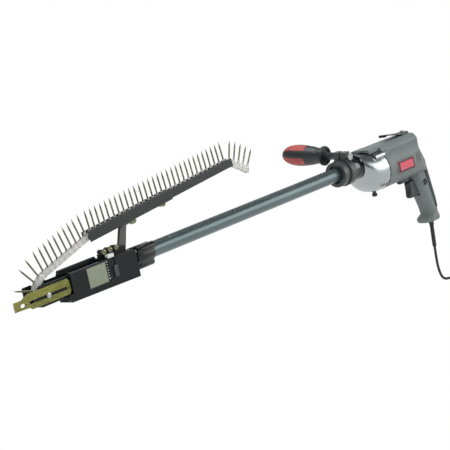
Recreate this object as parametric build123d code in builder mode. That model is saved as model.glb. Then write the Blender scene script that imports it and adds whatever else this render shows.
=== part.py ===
from build123d import *
import os
from math import acos, asin, cos, degrees, dist, pi, radians, sin, sqrt, tan

# Auto-feed screwdriver in millimetres: a corded motor unit with a pistol grip, a long drive tube and a
# feed head that takes a strip of collated screws from a rail above it.
# The origin is the centre of the hand grip, the nose points along -X, +Z is up and -Y is the left side.

os.makedirs("parts", exist_ok=True)

# Fits and clearances
RUN_FIT = 0.05
SEAT_FIT = 0.02
SLIDE_GAP = 0.3

# Drive axis above the grip's centre, and the gear pair that sets the motor below it
AXIS_Z = 95.0
MODULE = 1.0
PINION_TEETH = 9
GEAR_TEETH = 19
PRESSURE_ANGLE = 25.0
TOOTH_ADDENDUM = 0.8
TOOTH_DEDENDUM = 1.05
BACKLASH = 0.16
GEAR_WIDTH = 9.0
PINION_OVERHANG = 1.0
MOTOR_Z = AXIS_Z - MODULE * (PINION_TEETH + GEAR_TEETH) / 2

# Motor housing: a round barrel that narrows and slopes at the rear, with a raised spine along its roof
WALL = 2.8
BARREL_W = 80.0
BARREL_H = 76.0
BARREL_FLAT = 2.0
BARREL_CORNER = (min(BARREL_W, BARREL_H) - BARREL_FLAT) / 2
BARREL_DROP = 3.5
HOUSING_FRONT_X = -135.0
HOUSING_LEN = 148.0
BARREL_MID_Z = MOTOR_Z - BARREL_DROP
BARREL_TOP_Z = BARREL_MID_Z + BARREL_H / 2
BARREL_LOW_Z = BARREL_MID_Z - BARREL_H / 2
REAR_START_X = HOUSING_FRONT_X + 65.0
REAR_LOW_X = 11.0
REAR_HIGH_X = -5.0
REAR_TOP_X = -22.0
REAR_BEND_LOW_Z = 62.0
REAR_BEND_HIGH_Z = 92.0
REAR_SPARE = 6.0
REAR_EAVE_DROP = 9.0
SPINE_W = 54.0
SPINE_RISE = 4.5
SPINE_CORNER = 12.0
SPINE_ROUND = 2.8
SPINE_TOP_Z = BARREL_TOP_Z + SPINE_RISE
TONGUE_LEN = 30.0
TONGUE_W = 42.0
TONGUE_GAP = 1.2
VENT_COUNT = 3
VENT_PITCH = 7.0
VENT_W = 2.6
VENT_H = 18.0
VENT_X = -42.0
VENT_DROP = 4.0
VENT_IN = 24.0

# Pistol grip: front and back of its oval section at four heights, and its flared foot
GRIP_W = 33.0
GRIP_CORNER = 16.0
GRIP_NECK_Z = 55.0
GRIP_NECK_FRONT = -34.0
GRIP_NECK_BACK = 14.0
GRIP_WAIST_Z = 20.0
GRIP_WAIST_FRONT = -29.0
GRIP_WAIST_BACK = 18.3
GRIP_PALM_Z = -12.0
GRIP_PALM_FRONT = -17.0
GRIP_PALM_BACK = 23.3
GRIP_HEEL_Z = -43.0
GRIP_HEEL_FRONT = -9.0
GRIP_HEEL_BACK = 25.0
FOOT_W = 38.0
FOOT_CORNER = 17.0
FOOT_TOP_Z = -50.0
FOOT_Z = -58.0
FOOT_FRONT = -20.5
FOOT_BACK = 25.5
FOOT_ROUND = 4.0
RUBBER_T = 1.3
RUBBER_TOP_FRONT = -5.0
RUBBER_LOW_FRONT = 12.0
RUBBER_TOP_Z = 49.0
RUBBER_LOW_Z = -33.0

# Name plate and its pad on the left side
PLATE_X = -87.0
PLATE_DROP = 22.0
PLATE_L = 48.0
PLATE_H = 21.0
PLATE_T = 1.0
PLATE_ROUND = 2.0
PAD_MARGIN = 2.5
PAD_RISE = 0.6

# Screws that close the grip, and those that hold the gearbox to the housing
SCREW_R = 1.9
SCREW_HEAD_R = 3.6
SCREW_HEAD_H = 2.4
SCREW_RECESS = 3.2
BOSS_R = 4.5
GRIP_SCREW_REACH = 26.0
GRIP_SCREW_HIGH = (-11.0, 37.0)
GRIP_SCREW_LOW = (5.5, -30.0)
GEAR_SCREW_IN = 13.0
GEAR_SCREW_LIFT = 11.0
GEAR_SCREW_Y = BARREL_W / 2 - GEAR_SCREW_IN
GEAR_SCREW_Z = BARREL_H / 2 - GEAR_SCREW_LIFT
GEAR_SCREW_LEN = 38.0
GEAR_BOSS_R = 6.5
GEAR_BOSS_LEN = 28.0
GEAR_LOW_IN = 19.0
GEAR_LOW_LIFT = 13.0
GEAR_LOW_Y = BARREL_W / 2 - GEAR_LOW_IN
GEAR_LOW_Z = BARREL_H / 2 - GEAR_LOW_LIFT
GEAR_LOW_BOSS_LEN = 22.0
HOUSING_BOSS_R = 5.0
HOUSING_BOSS_LEN = 18.0

# Belt hook on the spine, with a thick root
HOOK_W = 16.0
HOOK_T = 2.2
HOOK_ROOT_LIFT = 1.0
HOOK_BACK_X = -18.0
HOOK_BEVEL = 3.0
HOOK_ROOT_X = -38.0
HOOK_ROOT_T = 5.0
HOOK_TIP_X = -84.0
HOOK_TIP_RISE = 9.0
HOOK_SCREW_X = -28.0
HOOK_SCREW_LEN = 11.5
HOOK_CAP_LEN = 10.0
HOOK_CAP_T = 4.6
HOOK_CAP_W = 17.0

# Trigger, switch and reversing lever
TRIGGER_TRAVEL = 7.0
TRIGGER_W = 14.0
TRIGGER_FRONT_X = -48.0
TRIGGER_BACK_X = -14.0
TRIGGER_H = 31.5
TRIGGER_DISH = 2.5
TRIGGER_ROUND = 3.5
TRIGGER_LOW_ROUND = 5.0
TRIGGER_GAP = 0.4
STEM_T = 6.0
STEM_REACH = 13.5
SWITCH_FRONT_X = -2.0
SWITCH_LEN = 11.0
SWITCH_ROUND = 6.5
SWITCH_H = 26.0
STEM_HOLE_SPARE = 1.5
LEVER_PIVOT_X = -40.0
LEVER_LEN = 24.0
LEVER_W = 9.0
LEVER_T = 7.0
LEVER_KNOB_R = 6.0
LEVER_POST_R = 3.0
LEVER_POST_LEN = 12.0
LEVER_GAP = 0.5
LEVER_CLEAR = 2.0
KNOB_ROUND = 1.5
TRIGGER_TOP_Z = BARREL_LOW_Z - LEVER_GAP - LEVER_T - LEVER_CLEAR
TRIGGER_LOW_Z = TRIGGER_TOP_Z - TRIGGER_H

# Button that locks the trigger on, in a moulded ring on the left of the grip
LOCK_ON_X = -8.8
LOCK_ON_Z = 21.6
LOCK_ON_R = 6.2
LOCK_ON_PROUD = 1.4
LOCK_ON_DEPTH = 4.0
LOCK_ON_ROUND = 0.8
LOCK_RING_R = 8.5
LOCK_RING_PROUD = 0.6

# Gearbox and nose collar
GEARBOX_LEN = 55.0
RIM_LEN = 15.0
CONE_W = 50.0
CONE_H = 45.0
CONE_CORNER = 22.0
DOME_BACK = 16.0
DOME_IN = 5.0
DOME_RISE = 4.5
SEAM_W = 1.6
SEAM_DEPTH = 1.4
CASE_WALL = 4.0
CASE_FRONT_WALL = 5.0
COLLAR_R = 21.5
COLLAR_LEN = 39.0
GEARBOX_FRONT_X = HOUSING_FRONT_X - GEARBOX_LEN
RIM_X = HOUSING_FRONT_X - RIM_LEN
COLLAR_FRONT_X = GEARBOX_FRONT_X - COLLAR_LEN
GEAR_PLATE_T = 5.0
GEAR_PLATE_GAP = 0.2
LOCK_X = -146.0
LOCK_TRAVEL = 4.0
LOCK_STEM_R = 3.5
LOCK_STEM_LEN = 16.0
LOCK_CAP_R = 5.0
LOCK_CAP_H = 5.5
LOCK_GAP = 0.5

# Motor
SHAFT_R = 3.5
CORE_R = 20.0
CORE_LEN = 50.0
CORE_FRONT_X = -108.0
WINDING_R = 16.0
WINDING_LEN = 6.0
COMM_R = 11.0
COMM_LEN = 14.0
COMM_GAP = 4.0
AIR_GAP = 0.6
STATOR_LEN = 46.0
FAN_R = 28.5
FAN_X = -131.0
FAN_T = 10.0
FAN_DISC_T = 2.0
FAN_HUB_R = 8.0
FAN_BLADES = 11
FAN_BLADE_T = 1.6
REAR_RIB_T = 9.0
REAR_BEARING_R = 8.0
FRONT_BEARING_R = 7.5
BRUSH_W = 10.0
BRUSH_H = 8.0
BRUSH_GAP = 0.5
CORE_BACK_X = CORE_FRONT_X + CORE_LEN
COMM_BACK_X = CORE_BACK_X + WINDING_LEN + COMM_GAP + COMM_LEN
REAR_RIB_X = COMM_BACK_X + COMM_GAP

# Spindle, drive shaft and bit
SPINDLE_R = 6.0
SPINDLE_CLEAR = 1.0
SPINDLE_SETBACK = 6.0
JOURNAL_R = 3.0
JOURNAL_BUSH_R = 5.0
GEAR_BACK_GAP = 5.0
HEX_AF = 6.35
HEX_GAP = 0.1
HEX_GRIP = 14.0
SPINDLE_BEARING_R = 13.0
SPINDLE_BEARING_LEN = 12.0
DRIVE_SHAFT_R = 5.0
BIT_R = 2.5
BIT_HEX_LEN = 34.0
BIT_POINT_LEN = 6.0
BIT_POINT_R = 0.8
END_PLAY = 0.5

# Extension tube
TUBE_R = 12.7
TUBE_WALL = 1.5
TUBE_LEN = 521.0
TUBE_SEAT = 13.0
TUBE_REAR_X = COLLAR_FRONT_X + TUBE_SEAT
TUBE_FRONT_X = TUBE_REAR_X - TUBE_LEN
SPINDLE_FRONT_X = TUBE_REAR_X - SPINDLE_SETBACK
ADAPTOR_R = 23.0
ADAPTOR_LEN = 17.0
ADAPTOR_GROOVE_R = 16.5
ADAPTOR_GROOVE_LEN = 7.0
BUSH_LEN = 14.0
BUSH_COUNT = 3
BUSH_MARGIN = 34.0

# Coupler between the tube and the feed head
COUPLER_LEN = 38.0
COUPLER_REACH = 5.0
COUPLER_R = 15.5
COUPLER_LOBE_R = 6.5
COUPLER_LOBES = 3
COUPLER_LOBE_TURN = 40.0
COUPLER_SPIGOT_R = 11.0
COUPLER_SCREW_R = 2.0
COUPLER_SOCKET_R = 2.3
COUPLER_SOCKET_DEPTH = 2.0
HEX_SIDES = 6
COUPLER_HEAD_R = 3.8
COUPLER_HEAD_LEN = 3.0
COUPLER_SPIGOT_LEN = 4.0
COUPLER_REAR_X = TUBE_FRONT_X + COUPLER_REACH
COUPLER_FRONT_X = COUPLER_REAR_X - COUPLER_LEN

# Feed head
HEAD_REAR_X = COUPLER_FRONT_X - COUPLER_SPIGOT_LEN
HEAD_LEN = 149.0
HEAD_FRONT_X = HEAD_REAR_X - HEAD_LEN
HEAD_TOP = 16.5
HEAD_LOW = 26.0
HEAD_REAR_LOW = 28.5
HEAD_RAKE = 12.0
HEAD_CHAMFER = 5.0
HEAD_FAR_CHAMFER = 24.0
HEAD_REAR_STEP = 6.0
CHEEK_T = 3.0
CHEEK_IN = 13.4
CHEEK_OUT = CHEEK_IN + CHEEK_T
FLANGE_T = 1.6
SLOT_HALF = 8.2
BLOCK_LEN = 38.0
BLOCK_FRONT_X = HEAD_REAR_X - BLOCK_LEN
BLOCK_BORE_R = 7.0
BIT_BUSH_LEN = 14.0
LABEL_X = 63.0
LABEL_L = 40.0
LABEL_H = 32.0
LABEL_T = 0.6
LABEL_DROP = 1.5
SELECTOR_X = 48.0
SELECTOR_W = 8.4
SELECTOR_H = 18.0
SELECTOR_LOW = 14.5
SELECTOR_PROUD = 2.0
SELECTOR_STEM_W = 5.0
GROOVE_LEN = 34.0
GROOVE_DEPTH = 1.8
GROOVE_MID = 0.5
PAD_X = 51.5
PAD_L = 13.0
PAD_W = 6.0
PAD_H = 5.5
PAD_ROUND = 1.2
SELECTOR_ROUND = 1.0
EDGE_ROUND = 0.6
ROD_R = 4.0
ROD_SIDE = 12.2
ROD_RISE = 17.5
ROD_LEN = 76.0
ROD_SETBACK = 23.0
SADDLE_L = 53.0
SADDLE_T = 4.0
SADDLE_H = 8.0
SADDLE_BACK = 10.0

# Slider that carries the nosepiece and the feed guide
SLIDER_OUT = 60.0
SLIDER_LEN = 87.0
SLIDER_CHIN = 13.0
SLIDER_FRONT_X = HEAD_FRONT_X - SLIDER_OUT
SLIDER_REAR_X = SLIDER_FRONT_X + SLIDER_LEN
SLIDER_LOW = 17.0
SLIDER_TOP = 14.5
SLIDER_NOSE_TOP = 8.0
SLIDER_NOSE_LEN = 8.0
SLIDER_GUARD_TOP = 16.0
SLIDER_GUARD_LEN = 18.0
SLIDER_FLOOR_T = 3.0
SLIDER_TONGUE = 30.0
SLIDER_WALL = 2.5
PLATE_LAYER = 2.4
NEAR_WALL_OUT = CHEEK_IN - SLIDE_GAP - PLATE_LAYER - SLIDE_GAP
FAR_WALL_OUT = CHEEK_IN - SLIDE_GAP
NEAR_WALL_IN = NEAR_WALL_OUT - SLIDER_WALL
FAR_WALL_IN = FAR_WALL_OUT - SLIDER_WALL
BULKHEAD_T = 3.0

# Nosepiece plate
NOSE_REACH = 41.0
NOSE_BACK = 70.0
NOSE_TOP = 11.0
NOSE_LOW = 13.0
NOSE_TIP_TOP = 5.5
NOSE_TIP_LOW = 8.5
NOSE_TIP_LEN = 29.0
NOSE_SHOULDER = 12.0
NOSE_TIP_FLARE = 1.0
NOSE_TEETH = 4
NOSE_TOOTH_LEN = 2.6
NOSE_SLOT_W = 4.4
NOSE_SLOT_LEN = 74.0
NOSE_SLOT_X = 27.0
NOSE_SLOT_DROP = 2.8
NOSE_STEP_W = 9.0
NOSE_STEP_DEPTH = 1.3
NOSE_HOLE_X = -24.0
NOSE_HOLE_L = 9.0
NOSE_HOLE_H = 5.5
NOSE_BEVEL = 4.0
NOSE_NOTCH_GAP = 1.5
NOSE_SCREW_R = 2.0
NOSE_SCREW_HEAD_R = 4.2
NOSE_SCREW_HEAD_T = 1.0

# Screw strip: its path runs round the guide in the slider, up the free span and along the rail
PITCH = 11.0
SCREW_COUNT = 48
FRONT_SCREWS = 4
SPAN_SCREWS = 8
STRIP_SCREW_LEN = 45.0
STRIP_SHANK_R = 1.5
STRIP_HEAD_R = 3.6
STRIP_HEAD_H = 3.4
STRIP_POINT_LEN = 8.0
STRIP_POINT_R = 0.25
SEAT_HEIGHT = 5.0
BAND_LOW = 5.3
BAND_HIGH = 3.5
BAND_T = 8.0
BAND_END = 2.4
GUIDE_SETBACK = 31.0
GUIDE_X = SLIDER_FRONT_X + GUIDE_SETBACK
GUIDE_RISE = 2.8
GUIDE_R = 19.0
LEAD_ANGLE = 16.0
GUIDE_EXIT = 41.0
EASE_R = 55.0
SPAN_SLOPE = 16.5
SPAN_RUN = 94.5
MOUTH_R = 60.0
RAIL_TILT = 5.5
RAIL_RUN = 322.0
TAIL_R = 20.0
TAIL_TURN = 24.0
DROOP_R = 165.0
GUIDE_TRACK_IN = 8.0
GUIDE_TRACK_OUT = 13.2
GUIDE_TRACK_LOW = 25.0
GUIDE_TRACK_HIGH = 75.0
GUIDE_TRACK_SIDE = 4.2

# Feed pawl
PAWL_X = 47.0
PAWL_RISE = 9.0
PAWL_LEN = 22.0
PAWL_LEAN = 150.0
PAWL_W = 7.0
PAWL_T = 2.5
PAWL_SIDE = 5.2
PAWL_PIN_R = 2.0

# Return spring
SPRING_R = 6.2
SPRING_WIRE_R = 0.8
SPRING_TURNS = 12
SPRING_GAP = 0.3

# Rail and strut
RAIL_IN_HALF = 5.5
RAIL_T = 1.2
RAIL_FLOOR = 6.0
RAIL_LIP = 6.0
RAIL_SLOT_HALF = 3.2
SLEEVE_T = 1.4
SLEEVE_GAP = 0.15
SLEEVE_FRONT = 9.0
SLEEVE_LEN = 188.0
FORK_LEN = 56.0
RAIL_START = 50.0
RAIL_LEN = 284.0
RAIL_MOUTH_LEN = 18.0
STRUT_W = 12.6
STRUT_T = 5.0
STRUT_FOOT_ALONG = 62.0
STRUT_HEAD_ALONG = 61.0
STRUT_FLANGE_T = 3.0
STRUT_BAR_LEN = 44.0
STRUT_BAR_H = 8.0
BRACKET_SCREW_R = 2.2
BRACKET_HEAD_R = 4.4
BRACKET_LUG_R = 4.0
BRACKET_HEAD_T = 3.6
BRACKET_PITCH = 13.2
BRACKET_COUNT = 3
BRACKET_RISE = 10.2
BRACKET_EDGE = 5.7
RAIL_BOLT_R = 2.2
RAIL_BOLT_HEAD_R = 5.0
RAIL_BOLT_HEAD_T = 4.0
RAIL_BOLT_BACK = 16.0
SLEEVE_BOLT_BACK = 20.0

# Side handle and its clamp, turned about the drive axis by the handle's tilt
HANDLE_TILT = 5.0
HANDLE_RISE = 29.0
CLAMP_W = 14.0
CLAMP_GAP = 0.4
CLAMP_T = 3.8
CLAMP_SLIT = 4.0
EAR_HALF = 13.0
EAR_TOP = 37.0
ARM_R = 6.8
ARM_END = 36.5
CLAMP_BOLT_R = 4.0
CLAMP_BOLT_REACH = 78.0
CLAMP_HEX_R = 7.0
CLAMP_HEX_T = 7.0
HANDLE_FLANGE_R = 18.0
HANDLE_FLANGE_T = 5.0
HANDLE_CUP_R = 14.0
HANDLE_CUP_DEPTH = 2.5
HANDLE_NECK = 54.0
HANDLE_NECK_R = 14.6
HANDLE_MID = 99.0
HANDLE_MAX_R = 19.5
HANDLE_END_LEN = 36.5
SKIN_STEPS = 6
INSERT_COUNT = 4
INSERT_ARC = 46.0
INSERT_TURN = 40.0
INSERT_START = 76.0
INSERT_END = 130.0
RING_END = 133.5
RING_DEPTH = 1.0
INSERT_DEPTH = 1.6
INSERT_PROUD = 0.3
HANDLE_START = ARM_END + SLIDE_GAP
CLAMP_X = COLLAR_FRONT_X + CLAMP_GAP + CLAMP_W / 2

# Cord, its strain relief, put-away coil, tie and plug
CORD_R = 2.5
RELIEF_TOP = (9.43, 0.0, FOOT_Z)
RELIEF_END = (5.0, 0.0, -110.0)
RELIEF_TOP_R = 5.6
RELIEF_R = 3.7
RELIEF_TAPER = 15.0
RELIEF_RINGS = 5
RELIEF_RING_R = 0.35
CORD_BEND_SHARE = 0.45
CORD_POINTS = [
    RELIEF_END,
    (3.12, 0.0, -132.09),
    (7.5, 0.0, -155.0),
    (20.0, 0.0, -174.0),
    (42.0, 0.0, -183.0),
    (61.0, 0.0, -183.0),
]
COIL_TURN_STEP = 6.5
COIL_LAYER_STEP = 6.0
COIL_LAYERS = 4
COIL_LAYER_TURNS = 2.5
COIL_CLIMB_TURNS = 0.5
COIL_OUTER_R = 38.0
COIL_LEAD_OUT = 36.0
COIL_END_RISE = 3.0
TIE_T = 1.2
TIE_W = 6.0
TIE_GAP = 0.9
TIE_ANGLE = 200.0
PLUG_L = 34.0
PLUG_W = 34.0
PLUG_T = 13.5
PLUG_NECK_L = 14.0
PLUG_NECK_R = 5.0
PLUG_ROUND = 4.0
PIN_R = 2.4
PIN_LEN = 19.0
PIN_SPACING = 19.0
PIN_ROOT = 6.0
PIN_ROOT_R = 1.8

# Tolerance for parallel directions, and samples per turn for the coil's gap
PARALLEL = 1e-9
GAP_SAMPLES = 40


def across(x, z=AXIS_Z):
    """Sketch plane square to the drive axis: local x is +Y and local y is +Z."""
    return Plane(origin=(x, 0, z), x_dir=(0, 1, 0), z_dir=(1, 0, 0))


def side(y=0.0):
    """Side view plane through the drive axis: local x is +X, local y is +Z, extrusion runs to -Y."""
    return Plane(origin=(0, y, AXIS_Z), x_dir=(1, 0, 0), z_dir=(0, -1, 0))


def save(piece, label):
    piece.part.label = label
    export_step(piece.part, f"parts/{label}.step")


# Motor housing and grip


rear_levels = [
    (BARREL_LOW_Z - REAR_SPARE, REAR_LOW_X),
    (REAR_BEND_LOW_Z, REAR_LOW_X),
    (REAR_BEND_HIGH_Z, REAR_HIGH_X),
    (SPINE_TOP_Z - REAR_EAVE_DROP, REAR_HIGH_X),
    (SPINE_TOP_Z + REAR_SPARE, REAR_TOP_X),
]


def barrel_outline(inset, mode=Mode.ADD):
    RectangleRounded(BARREL_W - 2 * inset, BARREL_H - 2 * inset, BARREL_CORNER - inset, mode=mode)


def barrel_half(x, rear_x):
    """Half width of the barrel's plan at x, where the plan ends at rear_x."""
    share = max(0.0, x - REAR_START_X) / (rear_x - REAR_START_X)
    return BARREL_W / 2 * sqrt(1 - share**2)


def barrel_solid(inset, with_spine=False):
    """Barrel cut to a plan that is round at the rear and reaches further back lower down."""
    half = BARREL_W / 2 - inset
    with BuildPart() as barrel:
        for z, rear_x in rear_levels:
            with BuildSketch(Plane.XY.offset(z)):
                with BuildLine():
                    reach = rear_x - inset - REAR_START_X
                    Line((HOUSING_FRONT_X, -half), (REAR_START_X, -half))
                    EllipticalCenterArc((REAR_START_X, 0), reach, half, -90, arc_size=180)
                    Line((REAR_START_X, half), (HOUSING_FRONT_X, half))
                    Line((HOUSING_FRONT_X, half), (HOUSING_FRONT_X, -half))
                make_face()
        loft(ruled=True)
        with BuildSketch(across(HOUSING_FRONT_X, BARREL_MID_Z)):
            barrel_outline(inset)
            if with_spine:
                with Locations((0, (SPINE_TOP_Z - BARREL_MID_Z) / 2)):
                    RectangleRounded(SPINE_W, SPINE_TOP_Z - BARREL_MID_Z, SPINE_CORNER)
        extrude(amount=HOUSING_LEN, mode=Mode.INTERSECT)
    return barrel.part


def grip_solid(inset):
    levels = [
        (GRIP_NECK_Z, GRIP_NECK_FRONT, GRIP_NECK_BACK),
        (GRIP_WAIST_Z, GRIP_WAIST_FRONT, GRIP_WAIST_BACK),
        (GRIP_PALM_Z, GRIP_PALM_FRONT, GRIP_PALM_BACK),
        (GRIP_HEEL_Z, GRIP_HEEL_FRONT, GRIP_HEEL_BACK),
    ]
    foot_mid = (FOOT_FRONT + FOOT_BACK) / 2
    with BuildPart() as grip:
        for z, front, back in levels:
            with BuildSketch(Plane.XY.offset(z)):
                with Locations(((front + back) / 2, 0)):
                    RectangleRounded(back - front - 2 * inset, GRIP_W - 2 * inset, GRIP_CORNER - inset)
        loft()
        with BuildSketch(Plane.XY.offset(GRIP_HEEL_Z)):
            with Locations(((GRIP_HEEL_FRONT + GRIP_HEEL_BACK) / 2, 0)):
                heel_len = GRIP_HEEL_BACK - GRIP_HEEL_FRONT
                RectangleRounded(heel_len - 2 * inset, GRIP_W - 2 * inset, GRIP_CORNER - inset)
        with BuildSketch(Plane.XY.offset(FOOT_TOP_Z)):
            with Locations((foot_mid, 0)):
                RectangleRounded(FOOT_BACK - FOOT_FRONT - 2 * inset, FOOT_W - 2 * inset, FOOT_CORNER - inset)
        loft()
        with BuildSketch(Plane.XY.offset(FOOT_TOP_Z)):
            with Locations((foot_mid, 0)):
                RectangleRounded(FOOT_BACK - FOOT_FRONT - 2 * inset, FOOT_W - 2 * inset, FOOT_CORNER - inset)
        extrude(amount=FOOT_Z + inset - FOOT_TOP_Z)
    return grip.part


def grip_screw_plane(point):
    x, z = point
    return Plane(origin=(x, GRIP_W / 2, z), x_dir=(1, 0, 0), z_dir=(0, 1, 0))


grip_screw_points = [GRIP_SCREW_HIGH, GRIP_SCREW_LOW]
gear_high_points = [(-GEAR_SCREW_Y, GEAR_SCREW_Z), (GEAR_SCREW_Y, GEAR_SCREW_Z)]
gear_low_points = [(-GEAR_LOW_Y, -GEAR_LOW_Z), (GEAR_LOW_Y, -GEAR_LOW_Z)]
barrel_outside = barrel_solid(0, with_spine=True)
grip_outside = grip_solid(0)
grip_inside = grip_solid(WALL)
grip_with_rubber = grip_solid(-RUBBER_T)

with BuildPart() as cavity:
    add(barrel_solid(WALL))
    add(grip_inside)

with BuildPart() as rear_rib:
    add(barrel_solid(WALL / 2))
    with BuildSketch(across(REAR_RIB_X, MOTOR_Z)):
        Rectangle(2 * BARREL_W, 2 * BARREL_H)
        Circle(REAR_BEARING_R + SEAT_FIT, mode=Mode.SUBTRACT)
    extrude(amount=REAR_RIB_T, mode=Mode.INTERSECT)

with BuildPart() as housing_shell:
    add(barrel_outside)
    with BuildSketch(across(HOUSING_FRONT_X, BARREL_MID_Z)):
        with Locations((0, (SPINE_TOP_Z - BARREL_MID_Z) / 2)):
            RectangleRounded(TONGUE_W, SPINE_TOP_Z - BARREL_MID_Z, SPINE_ROUND)
        barrel_outline(-TONGUE_GAP, mode=Mode.SUBTRACT)
    extrude(amount=-TONGUE_LEN)
    add(grip_outside)
    fillet(housing_shell.faces().sort_by(Axis.Z)[0].edges(), FOOT_ROUND)
    with BuildSketch(side()):
        with Locations((PLATE_X, -PLATE_DROP)):
            RectangleRounded(PLATE_L + 2 * PAD_MARGIN, PLATE_H + 2 * PAD_MARGIN, PLATE_ROUND + PAD_MARGIN)
    extrude(amount=BARREL_W / 2 + PAD_RISE)
    lock_ring_side = side(-GRIP_W / 2 - LOCK_RING_PROUD)
    with BuildSketch(lock_ring_side):
        with Locations((LOCK_ON_X, LOCK_ON_Z - AXIS_Z)):
            Circle(LOCK_RING_R)
    extrude(amount=-LOCK_RING_R)
    add(cavity.part, mode=Mode.SUBTRACT)
    add(rear_rib.part)
    with BuildSketch(lock_ring_side):
        with Locations((LOCK_ON_X, LOCK_ON_Z - AXIS_Z)):
            Circle(LOCK_ON_R + RUN_FIT)
    extrude(amount=-LOCK_RING_R, mode=Mode.SUBTRACT)
    with BuildSketch(across(HOUSING_FRONT_X, BARREL_MID_Z)):
        with Locations(*gear_high_points, *gear_low_points):
            Circle(HOUSING_BOSS_R)
    extrude(amount=HOUSING_BOSS_LEN)
    with BuildSketch(across(HOUSING_FRONT_X, BARREL_MID_Z)):
        with Locations(*gear_high_points):
            Circle(SCREW_R + SEAT_FIT)
    extrude(amount=GEAR_SCREW_LEN - GEAR_BOSS_LEN + SCREW_RECESS, mode=Mode.SUBTRACT)
    with BuildSketch(across(HOUSING_FRONT_X, BARREL_MID_Z)):
        with Locations(*gear_low_points):
            Circle(SCREW_R + SEAT_FIT)
    extrude(amount=HOUSING_BOSS_LEN, mode=Mode.SUBTRACT)
    for point in grip_screw_points:
        with BuildSketch(grip_screw_plane(point).offset(-WALL / 2)):
            Circle(BOSS_R)
        extrude(amount=WALL - GRIP_W)
        with Locations(grip_screw_plane(point)):
            CounterBoreHole(
                SCREW_R + SEAT_FIT,
                SCREW_HEAD_R + SLIDE_GAP,
                SCREW_RECESS,
                SCREW_RECESS + GRIP_SCREW_REACH,
            )
    with BuildSketch(Plane.XY.offset(SPINE_TOP_Z)):
        with Locations((HOOK_SCREW_X, 0)):
            Circle(SCREW_R + SEAT_FIT)
    extrude(amount=HOOK_ROOT_T - HOOK_SCREW_LEN, mode=Mode.SUBTRACT)
    for vent_side, reach in ((-VENT_IN, BARREL_W), (VENT_IN, -BARREL_W)):
        with BuildSketch(side(vent_side)):
            with Locations((VENT_X, MOTOR_Z - VENT_DROP - AXIS_Z)):
                with GridLocations(VENT_PITCH, 1, VENT_COUNT, 1):
                    SlotOverall(VENT_H, VENT_W, rotation=90)
        extrude(amount=reach, mode=Mode.SUBTRACT)
    trigger_mid = (TRIGGER_TOP_Z + TRIGGER_LOW_Z) / 2
    window_w = TRIGGER_W + 2 * TRIGGER_GAP
    window_h = TRIGGER_TOP_Z - TRIGGER_LOW_Z + 2 * TRIGGER_GAP
    with BuildSketch(across(TRIGGER_FRONT_X, trigger_mid)):
        Rectangle(window_w, window_h)
    extrude(amount=SWITCH_FRONT_X - TRIGGER_FRONT_X, mode=Mode.SUBTRACT)
    with BuildSketch(Plane.XY.offset(BARREL_LOW_Z)):
        with Locations((LEVER_PIVOT_X, 0)):
            Circle(LEVER_POST_R + RUN_FIT)
    extrude(amount=LEVER_POST_LEN, mode=Mode.SUBTRACT)

with BuildPart() as housing_left:
    add(housing_shell.part)
    split(bisect_by=Plane.XZ, keep=Keep.TOP)
save(housing_left, "housing_left")

with BuildPart() as housing_right:
    add(housing_shell.part)
    split(bisect_by=Plane.XZ, keep=Keep.BOTTOM)
save(housing_right, "housing_right")

with BuildPart() as grip_rubber:
    add(grip_with_rubber)
    add(grip_outside, mode=Mode.SUBTRACT)
    add(barrel_outside, mode=Mode.SUBTRACT)
    with BuildSketch(side()):
        with BuildLine():
            Polyline(
                (RUBBER_TOP_FRONT, RUBBER_TOP_Z - AXIS_Z),
                (GRIP_HEEL_BACK + GRIP_W, RUBBER_TOP_Z - AXIS_Z),
                (GRIP_HEEL_BACK + GRIP_W, RUBBER_LOW_Z - AXIS_Z),
                (RUBBER_LOW_FRONT, RUBBER_LOW_Z - AXIS_Z),
                close=True,
            )
        make_face()
    extrude(amount=GRIP_W, both=True, mode=Mode.INTERSECT)
save(grip_rubber, "grip_rubber")

with BuildPart() as name_plate:
    with BuildSketch(side(-BARREL_W / 2 - PAD_RISE)):
        with Locations((PLATE_X, -PLATE_DROP)):
            RectangleRounded(PLATE_L, PLATE_H, PLATE_ROUND)
    extrude(amount=PLATE_T)
save(name_plate, "name_plate")

# Screws that close the grip, hold the belt hook and hold the gearbox
with BuildPart() as housing_screws:
    for point in grip_screw_points:
        with BuildSketch(grip_screw_plane(point).offset(-SCREW_RECESS)):
            Circle(SCREW_HEAD_R)
        extrude(amount=SCREW_HEAD_H)
        with BuildSketch(grip_screw_plane(point).offset(-SCREW_RECESS)):
            Circle(SCREW_R)
        extrude(amount=-GRIP_SCREW_REACH)
    with BuildSketch(Plane.XY.offset(SPINE_TOP_Z + HOOK_ROOT_T)):
        with Locations((HOOK_SCREW_X, 0)):
            Circle(SCREW_HEAD_R)
    extrude(amount=SCREW_HEAD_H)
    with BuildSketch(Plane.XY.offset(SPINE_TOP_Z + HOOK_ROOT_T)):
        with Locations((HOOK_SCREW_X, 0)):
            Circle(SCREW_R)
    extrude(amount=-HOOK_SCREW_LEN)
    with Locations(across(HOUSING_FRONT_X - GEAR_BOSS_LEN + SCREW_RECESS, BARREL_MID_Z)):
        with Locations(*gear_high_points):
            Cylinder(SCREW_HEAD_R, SCREW_HEAD_H, align=(Align.CENTER, Align.CENTER, Align.MAX))
            Cylinder(SCREW_R, GEAR_SCREW_LEN, align=(Align.CENTER, Align.CENTER, Align.MIN))
    with Locations(across(HOUSING_FRONT_X + HOUSING_BOSS_LEN, BARREL_MID_Z)):
        with Locations(*gear_low_points):
            Cylinder(SCREW_HEAD_R, SCREW_HEAD_H, align=(Align.CENTER, Align.CENTER, Align.MIN))
            Cylinder(SCREW_R, GEAR_SCREW_LEN, align=(Align.CENTER, Align.CENTER, Align.MAX))
save(housing_screws, "housing_screws")

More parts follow.
